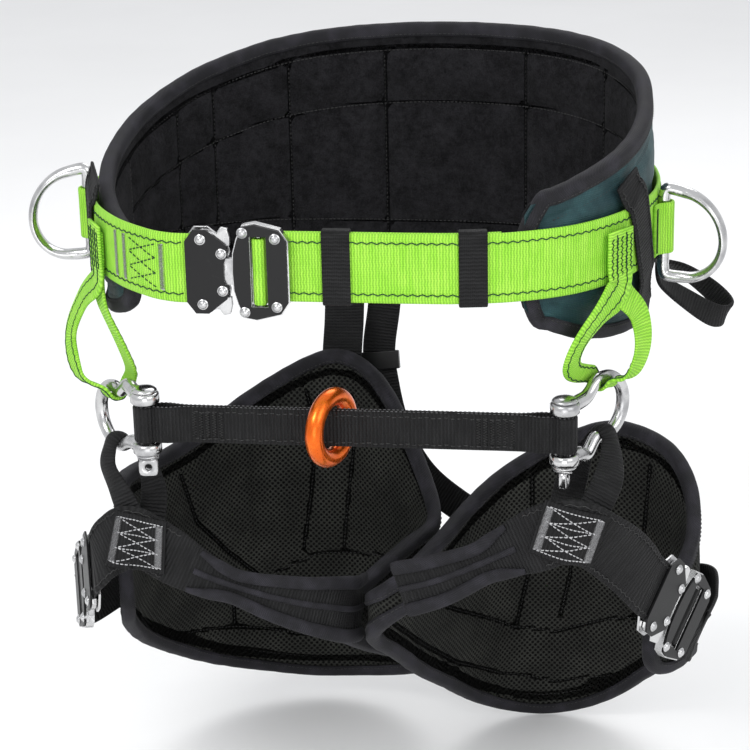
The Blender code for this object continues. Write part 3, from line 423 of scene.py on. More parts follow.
class Look:
    """A Principled material and short ways to add nodes to it."""

    def __init__(self, name, rough=0.6, metal=0.0, **sockets):
        self.mat = bpy.data.materials.new(name)
        self.mat.use_nodes = True
        self.tree = self.mat.node_tree
        self.surface = self.tree.nodes["Principled BSDF"]
        self.put("Roughness", rough)
        self.put("Metallic", metal)
        for key, value in sockets.items():
            self.put(key.replace("_", " "), value)

    def link(self, socket, value):
        if isinstance(value, bpy.types.NodeSocket):
            self.tree.links.new(value, socket)
        else:
            socket.default_value = value

    def put(self, key, value):
        if key == "Base Color" and isinstance(value, tuple) and len(value) == 3:
            value = (*value, 1.0)
        self.link(self.surface.inputs[key], value)

    def node(self, kind, inputs, out=0, **props):
        node = self.tree.nodes.new("ShaderNode" + kind)
        for key, value in props.items():
            setattr(node, key, value)
        for key, value in inputs.items():
            self.link(node.inputs[key], value)
        return node.outputs[out]

    def math(self, operation, *values):
        return self.node("Math", dict(enumerate(values)), operation=operation)

    def madd(self, value, by, plus):
        return self.math("MULTIPLY_ADD", value, by, plus)

    def wave(self, value, pitch, phase=0.0):
        """A sine of the value, from 0 to 1."""
        turn = self.madd(value, 2 * math.pi / pitch, phase)
        return self.madd(self.math("SINE", turn), 0.5, 0.5)

    def mix(self, a, b, factor):
        a, b = ((*c, 1.0) if isinstance(c, tuple) and len(c) == 3 else c for c in (a, b))
        return self.node("Mix", {0: factor, 6: a, 7: b}, out=2, data_type="RGBA")

    def ramp(self, value, low, high):
        """0 below low, 1 above high, and smooth between them."""
        return self.node("MapRange", {0: value, 1: low, 2: high}, interpolation_type="SMOOTHSTEP")

    def cloth(self):
        """Millimetres along and across the cloth."""
        spot = self.node("Attribute", {}, out=1, attribute_name="cloth")
        split = self.tree.nodes.new("ShaderNodeSeparateXYZ")
        self.tree.links.new(spot, split.inputs[0])
        return split.outputs[0], split.outputs[1]

    def flat(self, a, b, c=0.0):
        return self.node("CombineXYZ", {0: a, 1: b, 2: c})

    def place(self):
        """The spot on the object itself, in metres."""
        return self.node("TexCoord", {}, out=3)

    def noise(self, where, scale, detail=3.0, rough=0.55):
        return self.node("TexNoise", {"Vector": where, "Scale": scale, "Detail": detail, "Roughness": rough})

    def bump(self, height, depth_mm, under=None):
        inputs = {"Strength": 1.0, "Distance": depth_mm * MM, "Height": height}
        if under is not None:
            inputs["Normal"] = under
        return self.node("Bump", inputs)


def webbing(name, dark, base, light, rib=1.9, depth=0.32, rough=0.62, sheen=0.04, shine=0.35):
    """Woven strap: ribs across it, yarns along it, painted shade in the weave's grooves, and lighter where the yarns
    stand proud.
    """
    look = Look(name, rough, Sheen_Weight=sheen, Sheen_Roughness=0.4, Specular_IOR_Level=shine)
    along, across = look.cloth()
    wander = look.noise(look.flat(along, across), 0.35, 2.0)
    along_w = look.madd(wander, 0.7, along)
    column = look.math("PINGPONG", across, 2.4)
    ribs = look.wave(look.madd(column, 0.16, along_w), rib)
    yarns = look.wave(across, 1.15)
    height = look.madd(yarns, 0.35, ribs)
    # the streak and worn noise lay the pale light colour on at random: painted highlight
    streaks = look.noise(look.flat(look.math("MULTIPLY", along, 0.5), look.math("MULTIPLY", across, 0.05)), 0.9, 3.0)
    worn = look.noise(look.flat(along, across), 0.045, 3.0)
    bright = look.math("ADD", streaks, look.math("MULTIPLY", worn, 0.6))
    lit = look.math("MULTIPLY", look.ramp(bright, 0.55, 1.1), 0.75)
    ground = look.mix(base, light, lit)
    # dark where the weave is low: painted shade in the weave's grooves
    look.put("Base Color", look.mix(dark, ground, look.madd(height, 0.55, 0.28)))
    fuzz = look.noise(look.flat(along, across), 2.6, 2.0)
    look.put("Roughness", look.madd(fuzz, 0.25, rough - 0.12))
    look.put("Normal", look.bump(look.madd(fuzz, 0.25, height), depth))
    return look.mat


def tape(name, dark, base, light):
    """Close-woven binding tape with a fine twill."""
    look = Look(name, 0.7, Sheen_Weight=0.02, Sheen_Roughness=0.45, Specular_IOR_Level=0.2)
    along, across = look.cloth()
    twill = look.wave(look.math("ADD", along, across), 1.5)
    cross = look.wave(look.math("SUBTRACT", along, look.math("MULTIPLY", across, 0.6)), 1.15)
    height = look.madd(cross, 0.4, twill)
    worn = look.ramp(look.noise(look.flat(along, across), 0.06, 4.0), 0.4, 0.72)
    # dark where the twill is low: painted shade in its grooves
    look.put("Base Color", look.mix(dark, look.mix(base, light, worn), look.madd(height, 0.5, 0.25)))
    look.put("Roughness", look.madd(worn, 0.18, 0.62))
    look.put("Normal", look.bump(height, 0.22))
    return look.mat


def shell_cloth():
    """Teal shell fabric: plain weave, faintly marbled where it is rubbed."""
    look = Look("teal_shell_fabric", 0.6, Sheen_Weight=0.04, Specular_IOR_Level=0.3)
    along, across = look.cloth()
    weave = look.math("MULTIPLY", look.wave(along, 1.3), look.wave(across, 1.3))
    rubbed = look.ramp(look.noise(look.flat(along, across), 0.05, 4.0), 0.35, 0.75)
    ground = look.mix((0.006, 0.034, 0.040), (0.020, 0.080, 0.088), rubbed)
    # darker where the weave is low: painted shade between its threads
    look.put("Base Color", look.mix(look.mix((0.004, 0.018, 0.022), ground, 0.6), ground, weave))
    look.put("Roughness", look.madd(rubbed, -0.12, 0.62))
    creases = look.noise(look.flat(look.math("MULTIPLY", along, 0.4), across), 0.16, 3.0)
    look.put("Normal", look.bump(creases, 0.9, look.bump(weave, 0.2)))
    return look.mat


def fleece():
    """Brushed fleece: a short dense pile that lies in patches."""
    look = Look("brushed_fleece", 0.95, Sheen_Weight=0.02, Sheen_Roughness=0.6, Specular_IOR_Level=0.1)
    where = look.place()
    pile = look.noise(where, 900.0, 5.0, 0.75)
    patch = look.noise(where, 55.0, 3.0, 0.6)
    lie = look.noise(where, 210.0, 3.0, 0.6)
    tone = look.math("ADD", look.math("MULTIPLY", pile, 0.55),
                     look.math("MULTIPLY", look.math("ADD", patch, lie), 0.3))
    look.put("Base Color", look.mix((0.0012, 0.0012, 0.0015), (0.019, 0.0185, 0.021), look.ramp(tone, 0.40, 0.76)))
    look.put("Normal", look.bump(pile, 0.9, look.bump(lie, 1.1)))
    return look.mat


def spacer(pitch=3.9):
    """Open spacer mesh: round holes set diagonally through a knitted face."""
    look = Look("spacer_mesh_knit", 0.8, Sheen_Weight=0.015, Sheen_Roughness=0.5, Specular_IOR_Level=0.12)
    along, across = look.cloth()
    u = look.math("MULTIPLY", look.math("ADD", along, across), 0.7071 / pitch * 1.25)
    v = look.math("MULTIPLY", look.math("SUBTRACT", along, across), 0.7071 / pitch * 1.25)
    cell = look.node("TexVoronoi", {"Vector": look.flat(u, v), "Scale": 1.0, "Randomness": 0.0},
                     voronoi_dimensions="2D")
    yarn = look.ramp(cell, 0.20, 0.46)
    knit = look.math("MULTIPLY", look.wave(along, 0.9), look.wave(across, 0.7))
    worn = look.noise(look.flat(along, across), 0.03, 3.0)
    ground = look.mix((0.0120, 0.0125, 0.0110), (0.0310, 0.0320, 0.0280), look.ramp(worn, 0.3, 0.75))
    # paler where the knit stands proud: painted highlight on its yarns
    thread = look.mix(ground, look.mix(ground, (0.075, 0.076, 0.068), 0.5), knit)
    # near black in the holes: painted shade inside the pad
    look.put("Base Color", look.mix((0.0004, 0.0004, 0.0004), thread, yarn))
    look.put("Normal", look.bump(look.madd(knit, 0.12, yarn), 0.8))
    return look.mat


def alloy(name="polished_alloy_metal", base=(0.60, 0.60, 0.60), shade=(0.36, 0.36, 0.37), low=0.14, high=0.36):
    """Forged and tumbled alloy: soft waves, fine scratches and duller patches. Its colour is darker than bare alloy,
    and darker again in the duller patches, as painted dark reflection.
    """
    look = Look(name, 0.25, 1.0)
    where = look.place()
    dull_and_dark_reflection = look.noise(where, 60.0, 4.0)
    scratch = look.noise(look.node("Mapping", {"Vector": where, "Scale": (900.0, 60.0, 240.0)}), 1.0, 3.0, 0.7)
    # base and shade are kept dark as painted dark reflection; the duller patches are rougher and also painted darker
    look.put("Base Color", look.mix(base, shade, look.ramp(dull_and_dark_reflection, 0.42, 0.75)))
    look.put("Roughness", look.madd(look.ramp(dull_and_dark_reflection, 0.3, 0.75), high - low,
                                    look.madd(scratch, 0.1, low - 0.05)))
    look.put("Normal", look.bump(look.noise(where, 130.0, 2.0), 0.25, look.bump(scratch, 0.03)))
    return look.mat


def black_plate():
    """Black anodised plate with fine grit in its finish and rubbed bright specks."""
    look = Look("black_anodised", 0.4, 0.1, Specular_IOR_Level=0.35)
    where = look.place()
    grit = look.noise(where, 1500.0, 3.0, 0.7)
    rub = look.ramp(look.noise(where, 170.0, 5.0, 0.65), 0.62, 0.82)
    look.put("Base Color", look.mix((0.0045, 0.0045, 0.005), (0.03, 0.03, 0.032), rub))
    look.put("Roughness", look.madd(grit, 0.22, 0.28))
    look.put("Normal", look.bump(grit, 0.06))
    return look.mat


def orange():
    """Orange anodising: an even satin with faint draw lines and rubbed, paler spots."""
    look = Look("orange_anodised", 0.25, 0.85, Coat_Weight=0.2, Coat_Roughness=0.12)
    where = look.place()
    rub = look.ramp(look.noise(where, 120.0, 4.0), 0.45, 0.8)
    line = look.noise(look.node("Mapping", {"Vector": where, "Scale": (500.0, 500.0, 40.0)}), 1.0, 2.0)
    look.put("Base Color", look.mix((0.78, 0.125, 0.006), (0.90, 0.21, 0.02), rub))
    look.put("Roughness", look.madd(line, 0.2, 0.18))
    look.put("Normal", look.bump(line, 0.05))
    return look.mat


def thread(name, dark, light):
    """Twisted sewing thread."""
    look = Look(name, 0.55, Specular_IOR_Level=0.25)
    where = look.place()
    twist = look.noise(where, 1600.0, 2.0)
    look.put("Base Color", look.mix(dark, light, look.ramp(twist, 0.35, 0.65)))
    look.put("Normal", look.bump(twist, 0.15))
    return look.mat


# Each webbing's dark colour is painted shade for its weave's grooves, and its light colour a painted highlight.
GREEN = webbing("lime_green_webbing", (0.10, 0.28, 0.010), (0.30, 0.72, 0.035), (0.50, 0.92, 0.10))
BLACK = webbing("black_ribbed_webbing", (0.0008, 0.0008, 0.0008), (0.0055, 0.0055, 0.006), (0.019, 0.019, 0.020),
                rib=2.4, depth=0.5, sheen=0.01, shine=0.22)
# The binding tape's dark colour is painted shade for its twill's grooves.
BINDING = tape("charcoal_binding_tape", (0.004, 0.004, 0.005), (0.015, 0.0145, 0.018), (0.045, 0.043, 0.054))
SHELL, FLEECE, SPACER = shell_cloth(), fleece(), spacer()
ALLOY, PLATE, ORANGE = alloy(), black_plate(), orange()
DARK_THREAD = thread("dark_green_thread", (0.006, 0.030, 0.012), (0.020, 0.075, 0.030))
GREY_THREAD = thread("grey_thread", (0.26, 0.26, 0.27), (0.60, 0.60, 0.61))
DIM_THREAD = thread("dim_grey_thread", (0.050, 0.050, 0.052), (0.15, 0.15, 0.155))
BLACK_THREAD = thread("black_thread", (0.010, 0.010, 0.010), (0.05, 0.05, 0.05))

# --- pads --------------------------------------------------------------------------------------------


def round_waist(table, s):
    dense = spline(np.array(table, float), 300)
    return np.interp(s, dense[:, 0], dense[:, 1])


def nearest(points, lines):
    """Distance from each flat point to the nearest of some polylines."""
    best = np.full(len(points), 1e9)
    for line in lines:
        line = np.asarray(line, float)
        for a, b in zip(line[:-1], line[1:], strict=True):
            t = np.clip((points - a) @ (b - a) / max(1e-9, (b - a) @ (b - a)), 0, 1)
            best = np.minimum(best, np.linalg.norm(points - (a + t[:, None] * (b - a)), axis=1))
    return best


def smooth(x, low, high):
    t = np.clip((x - low) / (high - low), 0, 1)
    return t * t * (3 - 2 * t)


class Pad:
    """A padded sheet on a plan: two faces that swell between their seams, and thin towards the bound edge."""

    def __init__(self, plan, s, low, high, rows, faces, rim, seams, still=None, swell=2.0, groove=1.5):
        self.plan, self.s, self.low, self.high, self.rows = plan, s, low, high, rows
        cols = len(s)
        v = np.linspace(0, 1, rows)
        z = low[:, None] + (high - low)[:, None] * v
        flat = np.stack([np.repeat(s, rows), z.ravel()], axis=1)
        outline = np.concatenate([np.column_stack([s, high]), np.column_stack([s, low])[::-1]])
        self.outline = outline
        edge = nearest(flat, [np.concatenate([outline, outline[:1]])])
        sewn = nearest(flat, seams)
        middle, half = (faces[0] + faces[1]) / 2, (faces[1] - faces[0]) / 2
        thick = rim + (half - rim) * smooth(edge, 5.0, 20.0)
        puff = (1 - np.exp(-(np.minimum(sewn, edge - 7) / 11.0).clip(0) ** 2)) * swell
        groove = groove * (1 - smooth(sewn, 0.8, 5.0))
        self.offsets, self.flat = [], flat
        for k, sign in enumerate((-1, 1)):
            held = still[k](flat) if still else 0.0
            self.offsets.append(middle + sign * (thick + puff * 0.45 * (1 - held) - groove * (1 - 0.5 * held)))
        self.points = [self.spots(offset) for offset in self.offsets]
        pin = np.maximum(smooth(9.0 - edge, 0, 3), smooth(4.0 - sewn, 0, 2.2))
        self.pins = [np.maximum(pin, still[k](flat)) if still else pin for k in (0, 1)]
        self.cols, self.middle, self.swell = cols, middle, swell

    def spots(self, offset):
        spots = self.plan.at(self.flat[:, 0], np.asarray(offset))
        spots[:, 2] = self.flat[:, 1]
        return spots

    def joined_faces(self):
        """The quads of one face, those of both faces, and the ones that join the two round the rim."""
        rows, cols, size = self.rows, self.cols, len(self.flat)
        quads, _ = grid_faces(cols, rows, False)
        rim = [i * rows for i in range(cols)]
        rim += [(cols - 1) * rows + j for j in range(1, rows)]
        rim += [i * rows + rows - 1 for i in range(cols - 2, -1, -1)]
        rim += list(range(rows - 2, 0, -1))
        edge = [[a, b, b + size, a + size] for a, b in zip(rim, rim[1:] + rim[:1], strict=True)]
        return quads, quads.tolist() + (quads[:, ::-1] + size).tolist(), edge

    def puff_up(self, pressure=4.0, cap=None, frames=16):
        """Blows the pad up as cloth between its sewn lines, then keeps the shape."""
        cap = cap or self.swell * 1.5
        size = len(self.flat)
        points = np.concatenate(self.points)
        _, faces, edge = self.joined_faces()
        obj = mesh_object("pad_in_work", points, faces + edge, BLACK_THREAD)
        group = obj.vertex_groups.new(name="sewn")
        for index, weight in enumerate(np.concatenate(self.pins)):
            if weight > 0.01:
                group.add([index], float(weight), "REPLACE")
        cloth = obj.modifiers.new("cloth", "CLOTH")
        settings = cloth.settings
        settings.quality, settings.mass, settings.vertex_group_mass = 6, 0.25, "sewn"
        settings.tension_stiffness = settings.compression_stiffness = 18
        settings.shear_stiffness, settings.bending_stiffness = 8, 0.4
        settings.use_pressure, settings.uniform_pressure_force = True, pressure
        settings.effector_weights.gravity = 0
        cloth.collision_settings.use_collision = False
        scene = bpy.context.scene
        for step in range(1, frames + 1):
            scene.frame_set(step)
        graph = bpy.context.evaluated_depsgraph_get()
        mesh = obj.evaluated_get(graph).to_mesh()
        moved = np.empty(len(mesh.vertices) * 3)
        mesh.vertices.foreach_get("co", moved)
        obj.evaluated_get(graph).to_mesh_clear()
        scene.frame_set(1)
        bpy.data.objects.remove(obj)
        step = moved.reshape(-1, 3) * 1000 - points
        length = np.linalg.norm(step, axis=1, keepdims=True)
        step = step * np.minimum(1, cap / np.maximum(length, 1e-9))
        moved = points + np.nan_to_num(step)
        self.points = [moved[:size], moved[size:]]

    def face_piece(self, name, side, mat, depth=1.5):
        """One face of the pad as a closed skin of its own, down to the pad's middle."""
        back = self.spots(np.full(len(self.flat), self.middle + (depth if side else -depth) * 0.2))
        return self.skin(name, self.points[side], back, mat)

    def skin(self, name, front, back, mat):
        """Two faces as one closed skin, with the cloth's own millimetres from the plan."""
        quads, faces, edge = self.joined_faces()
        cloth = self.flat[quads]
        cloth = np.concatenate([cloth, np.zeros((*cloth.shape[:2], 1))], axis=2)
        cloth = np.concatenate([cloth.reshape(-1, 3), cloth[:, ::-1].reshape(-1, 3)])
        extra = [[*self.flat[k % len(front)], 0] for face in edge for k in face]
        return mesh_object(name, np.concatenate([front, back]), faces + edge, mat, np.concatenate([cloth, extra]))

    def at(self, s, z, side, lift=0.0):
        """Spots on a finished face, for stitches."""
        s, z = np.broadcast_arrays(np.asarray(s, float), np.asarray(z, float))
        i = np.interp(s, self.s, np.arange(self.cols))
        low, high = np.interp(s, self.s, self.low), np.interp(s, self.s, self.high)
        j = (np.clip((z - low) / (high - low), 0, 1)) * (self.rows - 1)
        i0, j0 = np.minimum(i.astype(int), self.cols - 2), np.minimum(j.astype(int), self.rows - 2)
        a, b = (i - i0)[..., None], (j - j0)[..., None]
        table = self.points[side].reshape(self.cols, self.rows, 3)
        spot = (table[i0, j0] * (1 - a) * (1 - b) + table[i0 + 1, j0] * a * (1 - b)
                + table[i0, j0 + 1] * (1 - a) * b + table[i0 + 1, j0 + 1] * a * b)
        return spot + self.plan.normal(np.ravel(s)).reshape(*s.shape, 3) * lift * (1 if side else -1)

    def seam(self, line, side, pitch=3.2, lift=0.25):
        """Separate stitches along a polyline of (s, z)."""
        line = np.asarray(line, float)
        dense = resample(line, max(3, int(length_along(line)[-1] / 0.8)))
        run, found = length_along(dense), []
        for start in np.arange(0, run[-1] - pitch, pitch):
            at = start + np.array([0, 0.2, 0.8, 1]) * pitch * 0.68
            spot = np.stack([np.interp(at, run, dense[:, i]) for i in (0, 1)], axis=1)
            inner, outer = (self.at(spot[:, 0], spot[:, 1], side, h) for h in (-0.3, lift))
            mask = np.array([0, 1, 1, 0])[:, None]
            found.append(inner * (1 - mask) + outer * mask)
        return found


def bind(name, pad, outline, inner, outer, nodes, lap=7.5, wall=1.1):
    """Binding tape rolled over a pad's edge, with the two rows of stitches that hold it."""
    outline = spline(outline, int(length_along(outline)[-1] / 3.2), True)
    way = tangents(outline, True)
    turn = np.sum(outline[:, 0] * np.roll(outline[:, 1], -1) - np.roll(outline[:, 0], -1) * outline[:, 1])
    out = np.stack([way[:, 1], -way[:, 0]], axis=1) * (1 if turn > 0 else -1)
    middle, half = (inner + outer) / 2, (outer - inner) / 2
    profile = []
    for reach, way_round in ((half + wall, 1), (half, -1)):
        arc = [(-lap, 0.93 * reach), (-lap + 2, reach), (-3, reach)]
        arc += [((reach * 0.72) * math.cos(a) - 1.5, reach * math.sin(a)) for a in np.radians([75, 50, 25, 0])]
        arc += [(x, -y) for x, y in arc[-2::-1]]
        profile += arc[::way_round]
    profile = np.array(profile)
    around = np.append(0, np.cumsum(np.linalg.norm(np.diff(profile, axis=0), axis=1)))
    run = length_along(outline)
    sections = []
    for k, (p, e) in enumerate(zip(outline, out, strict=True)):
        ripple = 0.35 * noise.noise(Vector((run[k] / 11, 3.0, 1.0)))
        x, y = profile[:, 0] + ripple, middle + profile[:, 1] * (1 + 0.03 * ripple)
        ring = pad.plan.at(p[0] + e[0] * x, y)
        ring[:, 2] = p[1] + e[1] * x
        sections.append(ring)
    obj = sweep(name, sections, BINDING, run, around, True)
    finish(obj, HARNESS, "binding_tape", *nodes)
    lines = []
    for sign in (1, -1):
        side = outline - out * (lap - 1.8)
        reach = middle + sign * (half + wall + 0.15)
        for start in np.arange(0, run[-1] - 4, 3.4):
            at = start + np.array([0, 0.2, 0.8, 1]) * 2.2
            s, z = (np.interp(at, run, side[:, i]) for i in (0, 1))
            spots = pad.plan.at(s, reach - sign * np.array([0.6, 0, 0, 0.6]))
            spots[:, 2] = z
            lines.append(spots)
    sew(name + "_stitches", lines, BLACK_THREAD, 0.32, 4)


pad_s = np.concatenate([[-404, -402.5, -399, -392], np.linspace(-382, 425, 30), [434, 439, 442, 443]])
low, high = round_waist(WAIST_BOTTOM, pad_s), round_waist(WAIST_TOP, pad_s)
fine_s = np.unique(np.concatenate([np.linspace(-404, 443, 190), [-184, -148, -85, -11, 100, 178]]))
fine_low, fine_high = np.interp(fine_s, pad_s, low), np.interp(fine_s, pad_s, high)


def beside_edge(down, up, s0, s1):
    """Lines that keep a distance under the waist pad's top or over its bottom."""
    s = np.arange(s0, s1 + 1, 8.0)
    top = np.column_stack([s, round_waist(WAIST_TOP, s) - down]) if down else None
    foot = np.column_stack([s, round_waist(WAIST_BOTTOM, s) + up]) if up else None
    return [line for line in (top, foot) if line is not None]


WAIST_SEAMS = beside_edge(17, 15, -385, 425) + beside_edge(56, 31, -255, 262)
WAIST_SEAMS += [[(s, float(round_waist(WAIST_BOTTOM, s)) + 15), (s, float(round_waist(WAIST_TOP, s)) - 17)]
                for s in (-255, -184, -148, -85, -11, 100, 178, 262)]


def under_belt(flat):
    return smooth(27.0 - np.abs(flat[:, 1]), 0, 4)


waist_pad = Pad(waist, fine_s, fine_low, fine_high, 36, (WAIST_FACE - WAIST_PAD, WAIST_FACE), 3.7, WAIST_SEAMS,
                (lambda flat: np.zeros(len(flat)), under_belt), 3.0, 2.15)
waist_pad.puff_up(4.0, 2.6)
lining = finish(waist_pad.face_piece("waist_fleece", 0, FLEECE), HARNESS, "fleece_lining", "waist_pad_lining")
shell = finish(waist_pad.face_piece("waist_shell_cloth", 1, SHELL), HARNESS, "teal_shell", "waist_pad_shell")
bind("waist_binding", waist_pad, waist_pad.outline[::3], WAIST_FACE - 9.6, WAIST_FACE - 1.3,
     ["waist_pad_binding"])
lines = [spots for line in WAIST_SEAMS for spots in waist_pad.seam(line, 0)]
lines += [spots for line in WAIST_SEAMS[:2] for spots in waist_pad.seam(line, 1)]
sew("waist_seam_stitches", lines, BLACK_THREAD, 0.35, 4)

LEG_SEAMS = {
    "left": [[(236, -166), (244, -200), (236, -260), (230, -297)],
             [(272, -170), (274, -200), (266, -260), (262, -296)],
             [(171, -315), (171, -352)], [(60, -314), (117, -340), (171, -352), (220, -366), (267, -377)],
             [(126, -214), (140, -256), (168, -288), (198, -318), (240, -300), (290, -297), (350, -306)]],
    "right": [[(243, -210), (243, -290), (256, -344)], [(213, -205), (213, -300), (221, -338)],
              [(366, -283), (320, -310), (257, -344), (225, -350), (180, -334), (120, -318)],
              [(430, -268), (372, -315), (322, -352), (270, -380), (225, -392), (184, -383), (120, -358)],
              [(150, -205), (156, -282), (160, -326)]],
}
for side, _ in SIDES:
    plan = legs[side]
    end = plan.run[-1]
    s = np.concatenate([[0, 2.0], np.linspace(9, end - 9, 32), [end - 2.0, end]])
    low, high = plan.column(s, 3), plan.column(s, 2)
    for i, cut in ((0, 12), (1, 5), (-1, 8), (-2, 3)):
        low[i], high[i] = low[i] + cut, high[i] - cut
    fine = np.unique(np.concatenate([s, np.linspace(0, end, 170)]))
    fine_low, fine_high = np.interp(fine, s, low), np.interp(fine, s, high)
    rim = [np.column_stack([fine, fine_high - 15]), np.column_stack([fine, fine_low + 15])]
    rim = [line[(line[:, 0] > 14) & (line[:, 0] < end - 14)] for line in rim]
    seams = LEG_SEAMS[side] + rim
    pad = Pad(plan, fine, fine_low, fine_high, 54, (-LEG_PAD_HALF, LEG_PAD_HALF), 2.9, seams, None, 2.6, 1.4)
    pad.puff_up(3.0, 1.6, 14)
    name = f"{side}_leg_mesh_pad"
    cloth = finish(pad.skin(name, pad.points[1], pad.points[0], SPACER), HARNESS, "spacer_mesh",
                   f"{side}_leg_pad_shell", f"{side}_leg_pad_lining")
    coarse = np.concatenate([np.column_stack([s, high]), np.column_stack([s, low])[::-1]])
    bind(f"{side}_leg_binding", pad, coarse, -LEG_PAD_HALF, LEG_PAD_HALF, [f"{side}_leg_pad_binding"])
    lines = [spots for line in seams for face in (0, 1) for spots in pad.seam(line, face)]
    sew(f"{side}_leg_seam_stitches", lines, BLACK_THREAD, 0.35, 4)

# --- belt --------------------------------------------------------------------------------------------

belt_run = np.arange(waist.run[0], waist.run[-1], 3.0)
belt = facing(waist.at(belt_run), UP, BELT_WIDTH, BELT_THICK, waist.normal(belt_run[:1])[0], 0)
finish(belt.piece("belt_webbing", GREEN), HARNESS, "green_webbing", "waist_belt")
tail_offset = -(BELT_THICK + TAIL_THICK) / 2 - 0.5
tail_run = np.arange(456.0, 600.0, 3.0)
tail = Strap(waist.at(tail_run, tail_offset), UP, BELT_WIDTH, TAIL_THICK)
finish(tail.piece("belt_tail_webbing", GREEN), HARNESS, "green_webbing", "waist_belt_tail")


def on_belt(s):
    return s - waist.run[0]


edge_lines = [zigzag(belt, x, on_belt(-462), on_belt(604), 6.2, 0.75) for x in (-16.6, 16.6)]
sew("belt_edge_stitches", edge_lines, DARK_THREAD, 0.42)
box = [[(-443, a), (-416, b)] for a, b in ((-14, -5), (-5, -14), (-5, 5), (5, -5), (5, 14), (14, 5))]
crosses = []
for (s0, x0), (s1, x1) in box:
    crosses += running(belt, ((on_belt(s0), x0), (on_belt(s1), x1)), 3.6)
sew("belt_cross_stitches", crosses, DARK_THREAD, 0.42)
tacks = [bar_tack(belt, on_belt(s), -15, 15) for s in (-400, -411, -448)]
sew("belt_bar_tacks", tacks, GREY_THREAD, 0.5)


def rounded_box(half_x, half_y, radius, steps=6):
    spots = []
    for corner, (sx, sy) in enumerate([(1, 1), (-1, 1), (-1, -1), (1, -1)]):
        for i in range(steps + 1):
            turn = math.pi / 2 * (corner + i / steps)
            spots.append((sx * (half_x - radius) + radius * math.cos(turn),
                          sy * (half_y - radius) + radius * math.sin(turn)))
    return spots


for name, s in (("inner", 559.0), ("outer", 474.0)):
    wall = 1.7
    outer, inner = BELT_THICK / 2 + GAP, tail_offset - TAIL_THICK / 2 - GAP
    centre, out = waist.at(s, (outer + inner) / 2)[0], waist.normal(s)[0]
    loop = rounded_box((outer - inner) / 2 + wall / 2, BELT_WIDTH / 2 + GAP + wall / 2, 1.6)
    path = resample(np.array([centre + out * x + UP * y for x, y in [*loop, loop[0]]]), 90, True)
    band = Strap(path, np.cross(out, UP), 18.0, wall, closed=True)
    finish(band.piece(f"keeper_{name}_band", BLACK), HARNESS, "black_webbing", f"belt_keeper_{name}")

for side, sign in SIDES:
    spots = [(356, -1.0, 42), (352, 0.6, 33), (347, OVER_BELT, 26), (341, OVER_BELT, 10), (336, OVER_BELT, -8),
             (331, OVER_BELT, -25), (328, 0.6, -33), (325, -0.8, -42), (322, -0.8, -52)]
    spots = [(sign * s, d, z) for s, d, z in spots]
    path, normal = waist_path(spots, 60), waist.normal(spline(spots, 60)[:, 0])
    strap = facing(path, np.cross(tangents(path), normal), 26.0, 2.0, normal[30])
    finish(strap.piece(f"{side}_pad_strap_webbing", BLACK), HARNESS, "black_webbing", f"{side}_pad_strap")
    end = strap.run[-1]
    lines = [zigzag(strap, x, 3, end - 3, 4.2, 0.8) for x in (-10, 10)]
    sew(f"{side}_pad_strap_stitches", lines, BLACK_THREAD, 0.38)

# --- D-rings and risers ------------------------------------------------------------------------------

BAR_OFFSET = BELT_THICK / 2 + GAP + D_WIRE / 2
for side, (s, z) in D_SPOTS.items():
    centre, out = waist.at(s, BAR_OFFSET, z)[0], waist.normal(s)[0]
    half, reach = (D_TALL - D_WIRE) / 2, D_OUT - D_WIRE / 2 - 3
    bow = [(0.0, -half + 4), (2.5, -half - 0.5)]
    for turn in np.radians(np.linspace(-86, 86, 13)):
        bow.append((reach - 27 + 27 * math.cos(turn), half * math.sin(turn)))
    bow += [(2.5, half + 0.5), (0.0, half - 4)]
    flat = spline(bow + [(0.0, v) for v in np.linspace(half - 12, -half + 12, 3)], 120, True)
    path = np.array([centre + out * u + UP * (v - DROOP * max(0, u) / reach) for u, v in flat])
    broad = np.interp(flat[:, 0], [0, 12, 30], [D_WIRE / 2, D_WIRE / 2, 6.2])
    thin = np.interp(flat[:, 0], [0, 12, 30], [D_WIRE / 2, D_WIRE / 2, 3.0])
    rings = tube_rings(path, thin, 24, True, np.cross(out, UP), broad)
    finish(sweep(f"{side}_d_ring_forging", rings, ALLOY, closed=True), f"{side}_d_ring", "polished_alloy",
           f"{side}_d_ring")
    sweep_r = D_WIRE / 2 + 0.5 + RISER_WEB / 2
    wrap = [(s + ds, d, z / 2) for ds, d in [(-17.5, OVER_BELT), (-12, OVER_BELT), (-8.5, OVER_BELT + 1.2)]]
    wrap += [(s + sweep_r * math.sin(a), BAR_OFFSET + sweep_r * math.cos(a), z / 2)
             for a in np.radians(np.linspace(-68, 68, 7))]
    wrap += [(s + ds, d, z / 2) for ds, d in [(8.5, OVER_BELT + 1.2), (12, OVER_BELT), (17.5, OVER_BELT)]]
    path = waist_path(wrap, 60)
    strap = facing(path, UP, 35.0, RISER_WEB, out)
    finish(strap.piece(f"{side}_d_ring_webbing", GREEN), HARNESS, "green_webbing", f"{side}_d_ring_loop")
    lines = [bar_tack(strap, at, -15, 15) for at in (3.0, strap.run[-1] - 3.0)]
    sew(f"{side}_d_ring_tacks", lines, DARK_THREAD, 0.45)

RISER_S = 369.0
RISER_PATHS = {
    "right": ([(158, -101, -36), (144, -110, -55), (139, -100, -76)],
              [(176, -84, -84), (183, -80, -66), (180, -77, -44)]),
    "left": ([(-187, -72, -42), (-199, -68, -70), (-190, -84, -92)],
             [(-154, -84, -90), (-158, -92, -68), (-169, -89, -44)]),
}


